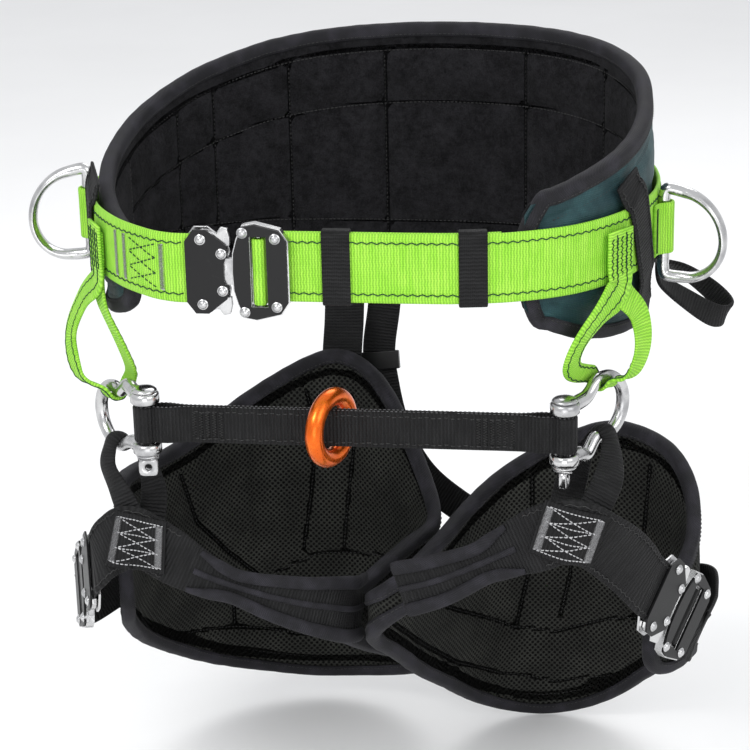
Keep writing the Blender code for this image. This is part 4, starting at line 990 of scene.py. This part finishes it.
def bow_way(side):
    """Level directions of a shackle: from its pin to its bow, and across it towards the front."""
    out = unit(np.array([BOW[side][0] - PIN[side][0], BOW[side][1] - PIN[side][1], 0.0]))
    across = np.cross(out, UP)
    return out, across if across[1] < 0 else -across


def bent_to_bridge(side, held, moved):
    x, y = (v * MM for v in BOW[side][:2])
    return HARNESS, "bridge", (x, y, held), (x, y, moved)


def loop_round(side, up, clear, count=9):
    """Points half round the shackle's wire: over its top bend (up 1) or under its bottom bend (up -1)."""
    _, front = bow_way(side)
    wire = np.array(BOW[side]) + UP * BOW_RADIUS * up
    reach = SHACKLE_WIRE / 2 + clear
    return [wire - front * reach * math.cos(a) - UP * reach * up * math.sin(a)
            for a in np.linspace(0.0, math.pi, count)]


def finer(path, across, width, count):
    """The same strap with more sections along it."""
    both = spline(np.column_stack([path, across, width]), count)
    return soften(both[:, :3], 1.6), soften(unit(both[:, 3:6]), 7.0), both[:, 6]


def soften(table, sigma):
    """Evens out a table along its length, with its ends held."""
    reach = int(3 * sigma) + 1
    weights = np.exp(-0.5 * (np.arange(-reach, reach + 1) / sigma) ** 2)
    before = 2 * table[:1] - table[1:reach + 1][::-1]
    after = 2 * table[-1:] - table[-reach - 1:-1][::-1]
    padded = np.concatenate([before, table, after])
    return np.stack([np.convolve(padded[:, i], weights / weights.sum(), "valid") for i in range(table.shape[1])], 1)


def crowned(strap, name, mat, crown, slack=0.12):
    """A strap folded or rolled lengthwise, so that its middle stands proud of its edges."""
    obj = strap.piece(name, mat, slack)
    points = np.array([v.co[:] for v in obj.data.vertices]) * 1000
    size = len(points) // len(strap.path)
    table = points.reshape(-1, size, 3)
    x = np.einsum("kij,kj->ki", table - strap.path[:, None], strap.across)
    share = np.clip(x / (strap.width[:, None] / 2), -1, 1)
    table = table + strap.normal[:, None] * (np.asarray(crown)[:, None] * (0.6 - share**2))[..., None]
    obj.data.vertices.foreach_set("co", (table.reshape(-1, 3) * MM).ravel())
    obj.data.update()
    return obj


for side, sign in SIDES:
    first, last = (list(map(np.array, part)) for part in RISER_PATHS[side])
    foot = loop_round(side, 1, GAP + 2.1 + RISER_WEB / 2)
    foot = foot[::-1] if side == "left" else foot
    over = OVER_BELT + RISER_WEB + 0.5
    top = [waist.at(sign * (RISER_S + 3), over, z)[0] for z in (13, -2, -14, -25)]
    end = [waist.at(sign * (RISER_S - 1), OVER_BELT + d, z)[0] for d, z in ((0.9, -29), (0.3, -17), (0, 8))]
    out, _ = bow_way(side)
    down, rise = spline([*top, *first, foot[0]], 17)[:-1], spline([foot[-1], *last, *end], 17)[1:]
    path = np.concatenate([down, foot, rise])
    along = np.cross(waist.normal(sign * RISER_S)[0], UP)
    along = along if along @ out > 0 else -along
    away = np.abs(np.arange(len(path)) - 0.5 * (len(path) - 1))
    width = np.interp(away, [0, 4, 9, 13, 18], [12.5, 12.5, 16.5, 21, 26])
    across = np.array([unit(along * (1 - t) + out * t) for t in np.interp(away, [5, 13], [1, 0])])
    strap = facing(*finer(path, across, width, 150), RISER_WEB, waist.normal(sign * RISER_S)[0], 2)
    away = np.abs(np.linspace(-1, 1, 150))
    crown = np.interp(away, [0, 0.2, 0.5, 0.8, 1], [0.9, 0.9, 0.8, 0.1, 0])
    bend = bent_to_bridge(side, -0.030, -0.088)
    obj = crowned(strap, f"{side}_riser_webbing", GREEN, crown)
    finish(obj, None, "green_webbing", f"{side}_riser_loop", blend=bend)
    lines = [zigzag(strap, x, 2, strap.run[-1] - 2, 5.6, 0.7) for x in (-5.0, 5.0)]
    sew(f"{side}_riser_stitches", lines, DARK_THREAD, 0.42, body=None, blend=bend)
    block = [zigzag(strap, x, 4, 30, 4.0, 1.0) for x in (-10, -5, 0, 5, 10)]
    sew(f"{side}_riser_tacks", block, DARK_THREAD, 0.42)

# --- shackles, bridge and ring -----------------------------------------------------------------------


def holed_plate(centre, x, y, z, outline, hole, low, high, round_off=0.5):
    """Rings of a plate with a hole: outline and hole are radii at even angles."""
    count = 48
    turn = circle(count)
    ring = np.stack([np.cos(turn), np.sin(turn)], axis=1)
    r = np.array([outline(a) for a in turn])
    rings = []
    for radius, level in ((r - round_off, low), (r, low + round_off), (r, high - round_off), (r - round_off, high),
                          (hole + round_off, high), (hole, high - round_off), (hole, low + round_off),
                          (hole + round_off, low)):
        flat = ring * np.broadcast_to(radius, count)[:, None]
        rings.append(centre + flat[:, :1] * x + flat[:, 1:] * y + np.array(z) * level)
    return np.array(rings)


def squarish(half, power=4.0):
    return lambda a: half / (abs(math.cos(a)) ** power + abs(math.sin(a)) ** power) ** (1 / power)


for side in PIN:
    pin, bow = np.array(PIN[side]), np.array(BOW[side])
    out, _ = bow_way(side)
    reach = float(np.hypot(*(bow - pin)[:2]))
    ear_z, rise = SHACKLE_GAP / 2 + EAR / 2, bow[2] - pin[2]
    half = [(6.0, ear_z), (14.0, ear_z + 0.5), (22.0, ear_z + 2.5)]
    arc = arc_spots(reach, rise, BOW_RADIUS, 110, -110, 12)
    flat = half + arc + [(x, -z) for x, z in reversed(half)]
    path = spline([pin + out * x + UP * z for x, z in flat], 110)
    swell = np.interp(np.linspace(0, 1, 110), [0, 0.08, 0.16, 0.5, 0.84, 0.92, 1],
                      [5.2, 4.9, 4.2, 4.4, 4.2, 4.9, 5.2])
    normal = np.cross(out, UP)
    parts = [sweep("bow", tube_rings(path, swell, 28, False, normal), ALLOY)]
    for z in (ear_z, -ear_z):
        rings = holed_plate(pin + UP * z, np.array([1.0, 0, 0]), np.array([0, 1.0, 0]), UP, lambda a: 9.6,
                            SHACKLE_PIN / 2 + GAP, -EAR / 2, EAR / 2, 1.3)
        parts.append(sweep("ear", rings, ALLOY, closed=True))
    bow_obj = joined(parts, f"{side}_shackle_forging")
    finish(bow_obj, "bridge", "polished_alloy", f"{side}_shackle_bow")
    top, low = ear_z + EAR / 2 + GAP, -ear_z - EAR / 2 - GAP
    r = SHACKLE_PIN / 2
    profile = [(0.01, top + 3.3), (2.4, top + 3.3), (4.8, top + 3.0), (6.6, top + 2.5), (7.9, top + 1.6),
               (8.5, top + 0.8), (8.4, top + 0.2), (7.9, top), (r, top), (r, low), (7.4, low),
               (7.7, low - 0.4), (7.7, low - 1.2), (7.3, low - 1.6), (5.2, low - 1.7),
               (5.2, low - 3.6), (4.6, low - 4.0), (0.01, low - 4.0)]
    parts = [sweep("pin", turned(profile, pin, UP, (1, 0, 0), 40), ALLOY)]
    turn = math.radians(8 if side == "left" else 78)
    x = np.array([math.cos(turn), math.sin(turn), 0.0])
    y, z = UP, np.cross(x, UP)
    tab = holed_plate(pin + UP * (low - 9.3), x, y, z, squarish(6.4), 2.3, -2.4, 2.4, 0.7)
    parts.append(sweep("tab", tab, ALLOY, closed=True))
    wire = [pin + UP * (low - 2.6) + z * 6.6 * math.cos(a) + x * 6.6 * math.sin(a) + UP * 0.6 * math.sin(3 * a)
            for a in np.radians(np.linspace(20, 330, 40))]
    parts.append(sweep("wire", tube_rings(wire, 0.55, 10), ALLOY))
    finish(joined(parts, f"{side}_shackle_pin_turned"), "bridge", "polished_alloy", f"{side}_shackle_pin")

BRIDGE_MIDDLE = (PIN["left"][0] + PIN["right"][0]) / 2
BRIDGE_HALF = PIN["right"][0] - BRIDGE_MIDDLE
PIN_Y, PIN_Z = PIN["right"][1:]


def bridge_end(sign):
    spots = [(-70, -LAYER_MIDDLE), (-36, -1.65), (-25, -2.2), (-15, -4.5)]
    spots += arc_spots(0, 0, 6.95, -145, 145, 13)
    spots += [(-15, 4.5), (-25, 2.2), (-36, 1.65), (-70, LAYER_MIDDLE)]
    return [(BRIDGE_MIDDLE + sign * (BRIDGE_HALF + x), PIN_Y + sign * y, PIN_Z) for x, y in spots]


loop = spline(bridge_end(1) + bridge_end(-1), 420, True)
layers = facing(loop, UP, BRIDGE_HEIGHT, LAYER_THICK, loop[210] - loop.mean(axis=0), closed=True)
finish(layers.piece("bridge_layers", BLACK), "bridge", "black_webbing", "bridge_webbing")
lines = []
for face_y in (-1, 1):
    for start in np.arange(BRIDGE_MIDDLE - 104, BRIDGE_MIDDLE + 104, 4.2):
        for z in (-9.3, 9.3):
            spots = [(start + d, PIN_Y + face_y * (LAYER_MIDDLE + LAYER_THICK / 2 + lift),
                      PIN_Z + z + 0.4 * math.sin(start))
                     for d, lift in ((0, -0.4), (0.5, 0.2), (2.2, 0.2), (2.7, -0.4))]
            lines.append(spots)
sew("bridge_side_stitches", lines, BLACK_THREAD, 0.4, body="bridge")
lines = []
for s in np.arange(1.0, layers.run[-1] - 3, 2.9):
    spots = layers.at(s + np.array([0, 0.4, 1.5, 1.9]), BRIDGE_HEIGHT / 2 - 0.2, -LAYER_THICK / 2)
    lines.append(spots + UP * np.array([-0.5, 0.15, 0.15, -0.5])[:, None])
sew("bridge_top_stitches", lines, DIM_THREAD, 0.36, body="bridge")
lines = []
for x in [*np.arange(-104, -82, 4.4), *np.arange(82, 105, 4.4)]:
    z = np.arange(-9, 9.1, 0.9)
    lines.append(np.column_stack([BRIDGE_MIDDLE + x + 1.1 * (np.arange(len(z)) % 2 * 2 - 1),
                                  np.full(len(z), PIN_Y - 3.15), PIN_Z + z]))
sew("bridge_end_tacks", lines, BLACK_THREAD, 0.42, body="bridge")

ring_centre = np.array([RING_X, PIN_Y, PIN_Z])
level = np.array([math.sin(-RING_TURN), math.cos(RING_TURN), 0.0])
round_turn = circle(120)[:, None]
ring_path = ring_centre + (RING_OUTER - RING_SECTION) / 2 * (level * np.cos(round_turn) + UP * np.sin(round_turn))
rings = tube_rings(ring_path, RING_SECTION / 2, 32, True, np.cross(level, UP))
finish(sweep("bridge_ring_turned", rings, ORANGE, closed=True), "ring", "orange_alloy", "bridge_ring")

# --- buckles -----------------------------------------------------------------------------------------


def frame_of(spec):
    centre, axis, out = (np.array(v) for v in spec)
    x = unit(axis)
    z = unit(out - x * np.dot(out, x))
    place = np.eye(4)
    place[:3, 0], place[:3, 1], place[:3, 2], place[:3, 3] = x, np.cross(z, x), z, centre
    return place


def local(place, x, y, z):
    return (place @ np.array([x, y, z, 1.0]))[:3]


FRAMES = {name: frame_of(spec) for name, spec in BUCKLES.items()}
FRONT_TOP = 7.3
RIVETS = {"female": [(-22, 21), (-22, -21), (-9.0, 12), (-9.0, -12)],
          "male": [(4.6, 25.6), (4.6, -25.6), (25, 22), (25, -22)]}
for name, place in FRAMES.items():
    for half, body in (("female", HARNESS), ("male", f"{name}_male")):
        eased(f"{name}_{half}_core", f"{name}_{half}_forging", ALLOY, body, "polished_alloy", 0.7, 35)
        eased(f"{name}_{half}_cover", f"{name}_{half}_plate", PLATE, body, "black_plate", 0.45, 35)
        heads = []
        for x, y in RIVETS[half]:
            profile = [(0.01, 2.25), (1.0, 2.2), (1.9, 1.85), (2.5, 1.2), (2.75, 0.7), (3.35, 0.62), (3.5, 0.35),
                       (3.5, 0.12), (0.01, 0.12)]
            rings = turned(profile, local(place, x, y, FRONT_TOP), place[:3, 2], place[:3, 0], 28)
            heads.append(sweep("rivet", rings, ALLOY))
        finish(joined(heads, f"{name}_{half}_rivets"), body, "polished_alloy")
    for end in "ab":
        eased(f"{name}_lever_{end}", f"{name}_lever_{end}_forging", ALLOY, f"{name}_lever_{end}", "polished_alloy",
              0.7, 35)
    green = name == "waist_buckle"
    wrap = [(10.6, -0.1), (10.6, 1.5)]
    wrap += arc_spots(14, 2.8, 3.4, 180, 0, 9)
    wrap += [(17.4, 1.5), (17.4, -0.1)]
    path = spline([local(place, x, 0, z) for x, z in wrap], 40)
    web = facing(path, place[:3, 1], 43.0 if green else 41.0, 2.0, place[:3, 2])
    finish(web.piece(f"{name}_bar_webbing", GREEN if green else BLACK), f"{name}_male",
           "green_webbing" if green else "black_webbing", f"{name}_male_web")

# --- leg straps --------------------------------------------------------------------------------------

LEG_FRAMES = {"right": FRAMES["right_leg_buckle"], "left": FRAMES["left_leg_buckle"]}
OFF_PAD = LEG_PAD / 2 + 0.4 + 1.3 + GAP + LEG_WEB_THICK / 2
FRONT_STRAPS = {
    "right": ([(28, -125.5, -222), (52, -127.5, -214), (80, -129, -201), (112, -135, -183), (140, -137, -171),
               (162, -129, -184), (178, -117, -202)], (0.42, 0.05, 0.90)),
    "left": ([(-5, -74, -259), (-10, -87, -256), (-22, -104, -247), (-42, -115.5, -239), (-72, -121.5, -229),
              (-108, -122, -216), (-149, -114, -197), (-168, -111, -204)], (-0.05, 0.05, 1.0)),
}
HANGERS = {
    "right": ([(149, -129.0, -186), (152, -127.6, -168), (162, -116, -148), (165, -98, -138)],
              [(144, -86, -142), (139, -100, -152), (136, -119, -166), (137, -124.5, -182)]),
    "left": ([(-150, -106.6, -212), (-153, -105.6, -192), (-162, -101, -172), (-172, -95, -153)],
             [(-150, -80, -152), (-142, -89, -172), (-143, -98.5, -190), (-146, -102.4, -208)]),
}
# The middle of each tack patch along its strap, its turn in degrees and its length.
TACK_BOXES = {"right": (124.0, 14.0, 42.0), "left": (177.0, 0.0, 40.0)}
# Distances along each front strap, and its widths there. 0 stands for LEG_WEB_WIDTH.
WAISTS = {
    "right": ([0, 34, 62, 80, 98], [36, 32, 24, 34, 0]),
    "left": ([0, 40, 78, 106, 128, 150], [44, 40, 30, 20, 32, 0]),
}


def upward(place):
    across = place[:3, 1]
    return across if across[2] > 0 else -across


def blend_across(path, spots):
    run = np.linspace(0, 1, len(path))
    at = [s[0] for s in spots]
    return unit(np.stack([np.interp(run, at, [s[1][i] for s in spots]) for i in range(3)], axis=1))


def laid_flat(strap, middle, degrees, length, width, thick):
    """A straight patch on a strap that bends under it, turned in the strap's plane and resting on its face."""
    s = np.linspace(middle - length / 2, middle + length / 2, 24)
    spots = strap.at(s, 0.0)
    centre, way = spots.mean(axis=0), unit(spots[-1] - spots[0])
    out = strap.at(middle, 0.0, 1.0) - strap.at(middle, 0.0)
    out = unit(out - way * (out @ way))
    side, turn = np.cross(out, way), math.radians(degrees)
    way, side = way * math.cos(turn) - side * math.sin(turn), side * math.cos(turn) + way * math.sin(turn)
    near = np.meshgrid(np.arange(middle - 42, middle + 42, 1.5), np.linspace(-22, 22, 31))
    face = (strap.at(*near) - centre).reshape(-1, 3) @ np.stack([way, side, out], axis=1)
    along, heights = s - middle, []
    for x in (-width / 2, 0.0, width / 2):
        gaps = np.hypot(face[:, :1] - along, face[:, 1:2] - x)
        heights.append(soften(face[gaps.argmin(axis=0), 2][:, None], 2.0)[:, 0])
    low, mid, high = heights
    rise = np.maximum(mid, (low + high) / 2) + thick / 2 + 0.25
    path = centre + along[:, None] * way + rise[:, None] * out
    return facing(path, unit(side * width + (high - low)[:, None] * out), width, thick, out)


for side, (spots, lean) in FRONT_STRAPS.items():
    place = LEG_FRAMES[side]
    inside_end = [local(place, x, 0, 3.75) for x in (-46, -38, -28.5)]
    path = spline([*[np.array(p) for p in spots], *inside_end], 110)
    across = blend_across(path, [(0, (0, 0, 1)), (0.5, lean), (0.72, lean), (0.9, upward(place)), (1, upward(place))])
    run, wide = WAISTS[side]
    width = soften(np.interp(length_along(path), run, [w or LEG_WEB_WIDTH for w in wide])[:, None], 3.0)[:, 0]
    strap = facing(path, across, width, LEG_WEB_THICK, (0, -1, 0))
    finish(strap.piece(f"{side}_leg_front_webbing", BLACK), HARNESS, "black_webbing", f"{side}_leg_strap")
    edges = [zigzag(strap, x, run[-1] + 2, strap.run[-1] - 2, 4.6, 0.7) for x in (-17.5, 17.5)]
    sew(f"{side}_leg_front_stitches", edges, BLACK_THREAD, 0.38)
    rolls = []
    for sign in (1, -1):
        s = np.linspace(0.5, run[-2] + 6, 60)
        half = np.interp(s, strap.run, strap.width) / 2 - 2.5
        fold = strap.at(s, sign * half, 0.9)
        thin = np.interp(s, [s[0], s[0] + 4, s[-1] - 16, s[-1]], [4.2, 5.0, 4.2, 1.8])
        facing_out = strap.at(s, 0.0, 1.0) - strap.at(s, 0.0, 0.0)
        rings = tube_rings(fold, thin, 16, False, facing_out, thin * 0.48)
        rolls.append(sweep("roll", rings, BINDING, length_along(fold), np.linspace(0, 22, 16)))
    rings = tube_rings(strap.at(s, 0.0, 0.3), 2.2, 12, False, facing_out, 1.0)
    rolls.append(sweep("fold", rings, BINDING, length_along(fold), np.linspace(0, 9, 12)))
    finish(joined(rolls, f"{side}_leg_strap_piping"), HARNESS, "binding_tape")
    middle, turned_by, length = TACK_BOXES[side]
    patch = laid_flat(strap, middle, turned_by, length, 38.0, 1.6)
    finish(patch.piece(f"{side}_leg_tack_patch", BLACK), HARNESS, "black_webbing")
    lo, hi = 4.6, patch.run[-1] - 4.6
    bars = [bar_tack(patch, at + d, -15.5, 15.5, 1.3, 0.85) for at in (lo, hi) for d in (-1.1, 1.1)]
    levels = (-14.5, -4.8, 4.8, 14.5)
    dots = []
    for a, b in zip(levels[:-1], levels[1:], strict=True):
        for near, far in ((a, b), (b, a)):
            dots += running(patch, ((lo + 2.5, near), (hi - 2.5, far)), 3.0)
    for x in (-15.5, -5.2, 5.2, 15.5):
        dots += running(patch, ((lo, x), (hi, x)), 2.6)
    sew(f"{side}_leg_tack_bars", bars + dots, GREY_THREAD, 0.42)

for side, _ in SIDES:
    place, plan = LEG_FRAMES[side], legs[side]
    run_in = [local(place, x, 0, -GAP - 0.4 - LEG_WEB_THICK / 2) for x in (12, 26, 40, 54)]
    on_pad = []
    for s, down, off in ((82, 0.40, 5.0), (112, 0.36, 1.2), (140, 0.34, 1.2)):
        spot = plan.at(s, OFF_PAD + off)[0]
        low, high = plan.column(s, 3), plan.column(s, 2)
        spot[2] = high + (low - high) * (1 - down)
        on_pad.append(spot)
    path = spline([*run_in, *on_pad], 90)
    across = blend_across(path, [(0, upward(place)), (0.42, upward(place)), (0.75, UP), (1, UP)])
    strap = facing(path, across, LEG_WEB_WIDTH - 4, LEG_WEB_THICK, place[:3, 2])
    bend = (HARNESS, f"{side}_leg_buckle_male", tuple(on_pad[0] * MM), tuple(run_in[2] * MM))
    finish(strap.piece(f"{side}_leg_adjuster_webbing", BLACK), None, "black_webbing", f"{side}_leg_adjuster",
           blend=bend)

for side, (first, last) in HANGERS.items():
    top = loop_round(side, -1, GAP + 1.4 + HANG_WEB / 2)[::-1]
    out, _ = bow_way(side)
    rise, fall = spline([*map(np.array, first), top[0]], 13)[:-1], spline([top[-1], *map(np.array, last)], 13)[1:]
    path = np.concatenate([rise, top, fall])
    flat = unit(np.array([1.0, 0.25 if side == "right" else -0.35, 0.0]))
    flat = flat if flat @ out > 0 else -flat
    away = np.abs(np.arange(len(path)) - 0.5 * (len(path) - 1))
    across = np.array([unit(flat * (1 - t) + out * t) for t in np.interp(away, [5, 11], [1, 0])])
    width = np.interp(away, [0, 4, 9, 14], [14, 14, 20, 22])
    strap = facing(*finer(path, across, width, 120), HANG_WEB, UP)
    away = np.abs(np.linspace(-1, 1, 120))
    crown = np.interp(away, [0, 0.5, 0.85, 1], [1.6, 1.6, 0.4, 0.0])
    obj = crowned(strap, f"{side}_hanger_webbing", BLACK, crown)
    finish(obj, None, "black_webbing", f"{side}_leg_hanger", blend=bent_to_bridge(side, -0.186, -0.146))

# --- gear loop and back risers -----------------------------------------------------------------------

GEAR_LOOP = [(268, 0.8, -38), (267, 2.5, -50), (263, 22, -66), (256, 42, -80), (247, 52, -80), (238, 44, -70),
             (232, 22, -54), (229, 3, -46), (228, 0.8, -34)]
gear_spots = spline(GEAR_LOOP, 26)
gear_path, gear_out = waist_path(GEAR_LOOP, 26), waist.normal(gear_spots[:, 0])
gear_along = tangents(waist.at(gear_spots[:, 0][::-1]))[::-1]
gear_turn = np.linspace(0, math.pi, 26)[:, None]
gear_across = gear_along * np.cos(gear_turn) - (UP * 0.85 + gear_out * 0.4) * np.sin(gear_turn)
strap = Strap(*finer(gear_path, gear_across, np.full(26, 16.0), 90), 2.8)
finish(crowned(strap, "gear_loop_webbing", BLACK, np.full(90, 0.5)), HARNESS, "black_webbing", "gear_loop")

BACK_RISERS = {
    "left": ([(-45, 160.5, -34), (-45, 160.8, -66), (-45, 160, -84), (-45, 146, -106), (-44, 131, -124),
              (-44, 119, -142), (-44, 114.5, -162), (-44, 113.8, -190)], 30.0, (1.0, 0.0, 0.0)),
    "right": ([(-16, 163.5, -34), (-16, 163.2, -62), (-16, 157, -110), (-20, 148, -146), (-18, 142, -166),
               (-8, 133, -205), (14, 122, -240), (48, 108, -262), (84, 95, -276), (100, 92.5, -282)], 25.0,
              (0.45, 0.0, 0.9)),
}
for side, (spots, width, lean) in BACK_RISERS.items():
    path = spline([np.array(p) for p in spots], 24)
    across = blend_across(path, [(0, (1, 0, 0)), (0.5, (1, 0, 0)), (0.8, lean), (1, lean)])
    strap = facing(*finer(path, across, np.full(24, width), 110), LEG_WEB_THICK, (0, 1, 0), 20)
    finish(strap.piece(f"{side}_back_webbing", BLACK), HARNESS, "black_webbing", f"{side}_back_riser")
    lines = [zigzag(strap, x, 3, 26, 4.2, 1.0) for x in (-8, -4, 0, 4, 8)]
    lines += [zigzag(strap, x, strap.run[-1] - 22, strap.run[-1] - 2, 4.2, 1.0) for x in (-8, -4, 0, 4, 8)]
    sew(f"{side}_back_tacks", lines, GREY_THREAD, 0.4)
eased("back_riser_slider", "back_slider_frame", PLATE, HARNESS, "black_plate", 0.8, 35)

# --- camera, light and floor -------------------------------------------------------------------------


def studio():
    scene = bpy.context.scene
    az, el, roll, away, drop = math.radians(8), math.radians(15), math.radians(1.3), 1.5, math.radians(4.25)
    look = np.array([-math.sin(az) * math.cos(el), math.cos(az) * math.cos(el), -math.sin(el)])
    right = np.array([math.cos(az), math.sin(az), 0.0])
    up = np.cross(right, look)
    right, up = right * math.cos(roll) - up * math.sin(roll), right * math.sin(roll) + up * math.cos(roll)
    spot = -look * away
    look, up = look * math.cos(drop) - up * math.sin(drop), up * math.cos(drop) + look * math.sin(drop)
    data = bpy.data.cameras.new("camera")
    data.lens, data.sensor_width, data.clip_start, data.clip_end = 105.9, 36.0, 0.05, 50.0
    camera = bpy.data.objects.new("camera", data)
    scene.collection.objects.link(camera)
    place = np.eye(4)
    place[:3, 0], place[:3, 1], place[:3, 2], place[:3, 3] = right, up, -look, spot
    camera.matrix_world = Matrix(place.tolist())
    scene.camera = camera

    scene.view_settings.view_transform, scene.view_settings.look = "Standard", "None"
    world = bpy.data.worlds.new("studio")
    world.use_nodes = True
    world.node_tree.nodes["Background"].inputs["Color"].default_value = (0.97, 0.98, 1.0, 1.0)
    world.node_tree.nodes["Background"].inputs["Strength"].default_value = 0.85
    scene.world = world
    for name, where, size, power in (("key", (-0.9, -1.6, 1.5), 1.0, 24.0), ("fill", (1.5, -1.3, 0.9), 1.2, 11.0),
                                     ("low", (0.2, -1.7, -0.2), 0.9, 5.0), ("back", (0.3, 1.5, 1.4), 1.2, 12.0)):
        light = bpy.data.lights.new(name, "AREA")
        light.energy, light.size = power, size
        lamp = bpy.data.objects.new(name, light)
        lamp.location = where
        lamp.rotation_euler = (Vector((0, 0, -0.15)) - Vector(where)).to_track_quat("-Z", "Y").to_euler()
        scene.collection.objects.link(lamp)

    floor_look = Look("studio_floor", 0.9)
    floor_look.put("Base Color", floor_look.mix((0.86, 0.86, 0.86), (0.92, 0.92, 0.92),
                                                floor_look.noise(floor_look.place(), 3.0)))
    low = cad_box[0][2] * 1000 - 2.0
    floor = mesh_object("studio_floor", [(-6000, -6000, low), (6000, -6000, low), (6000, 6000, low),
                                         (-6000, 6000, low)], [[0, 1, 2, 3]], floor_look.mat)


studio()
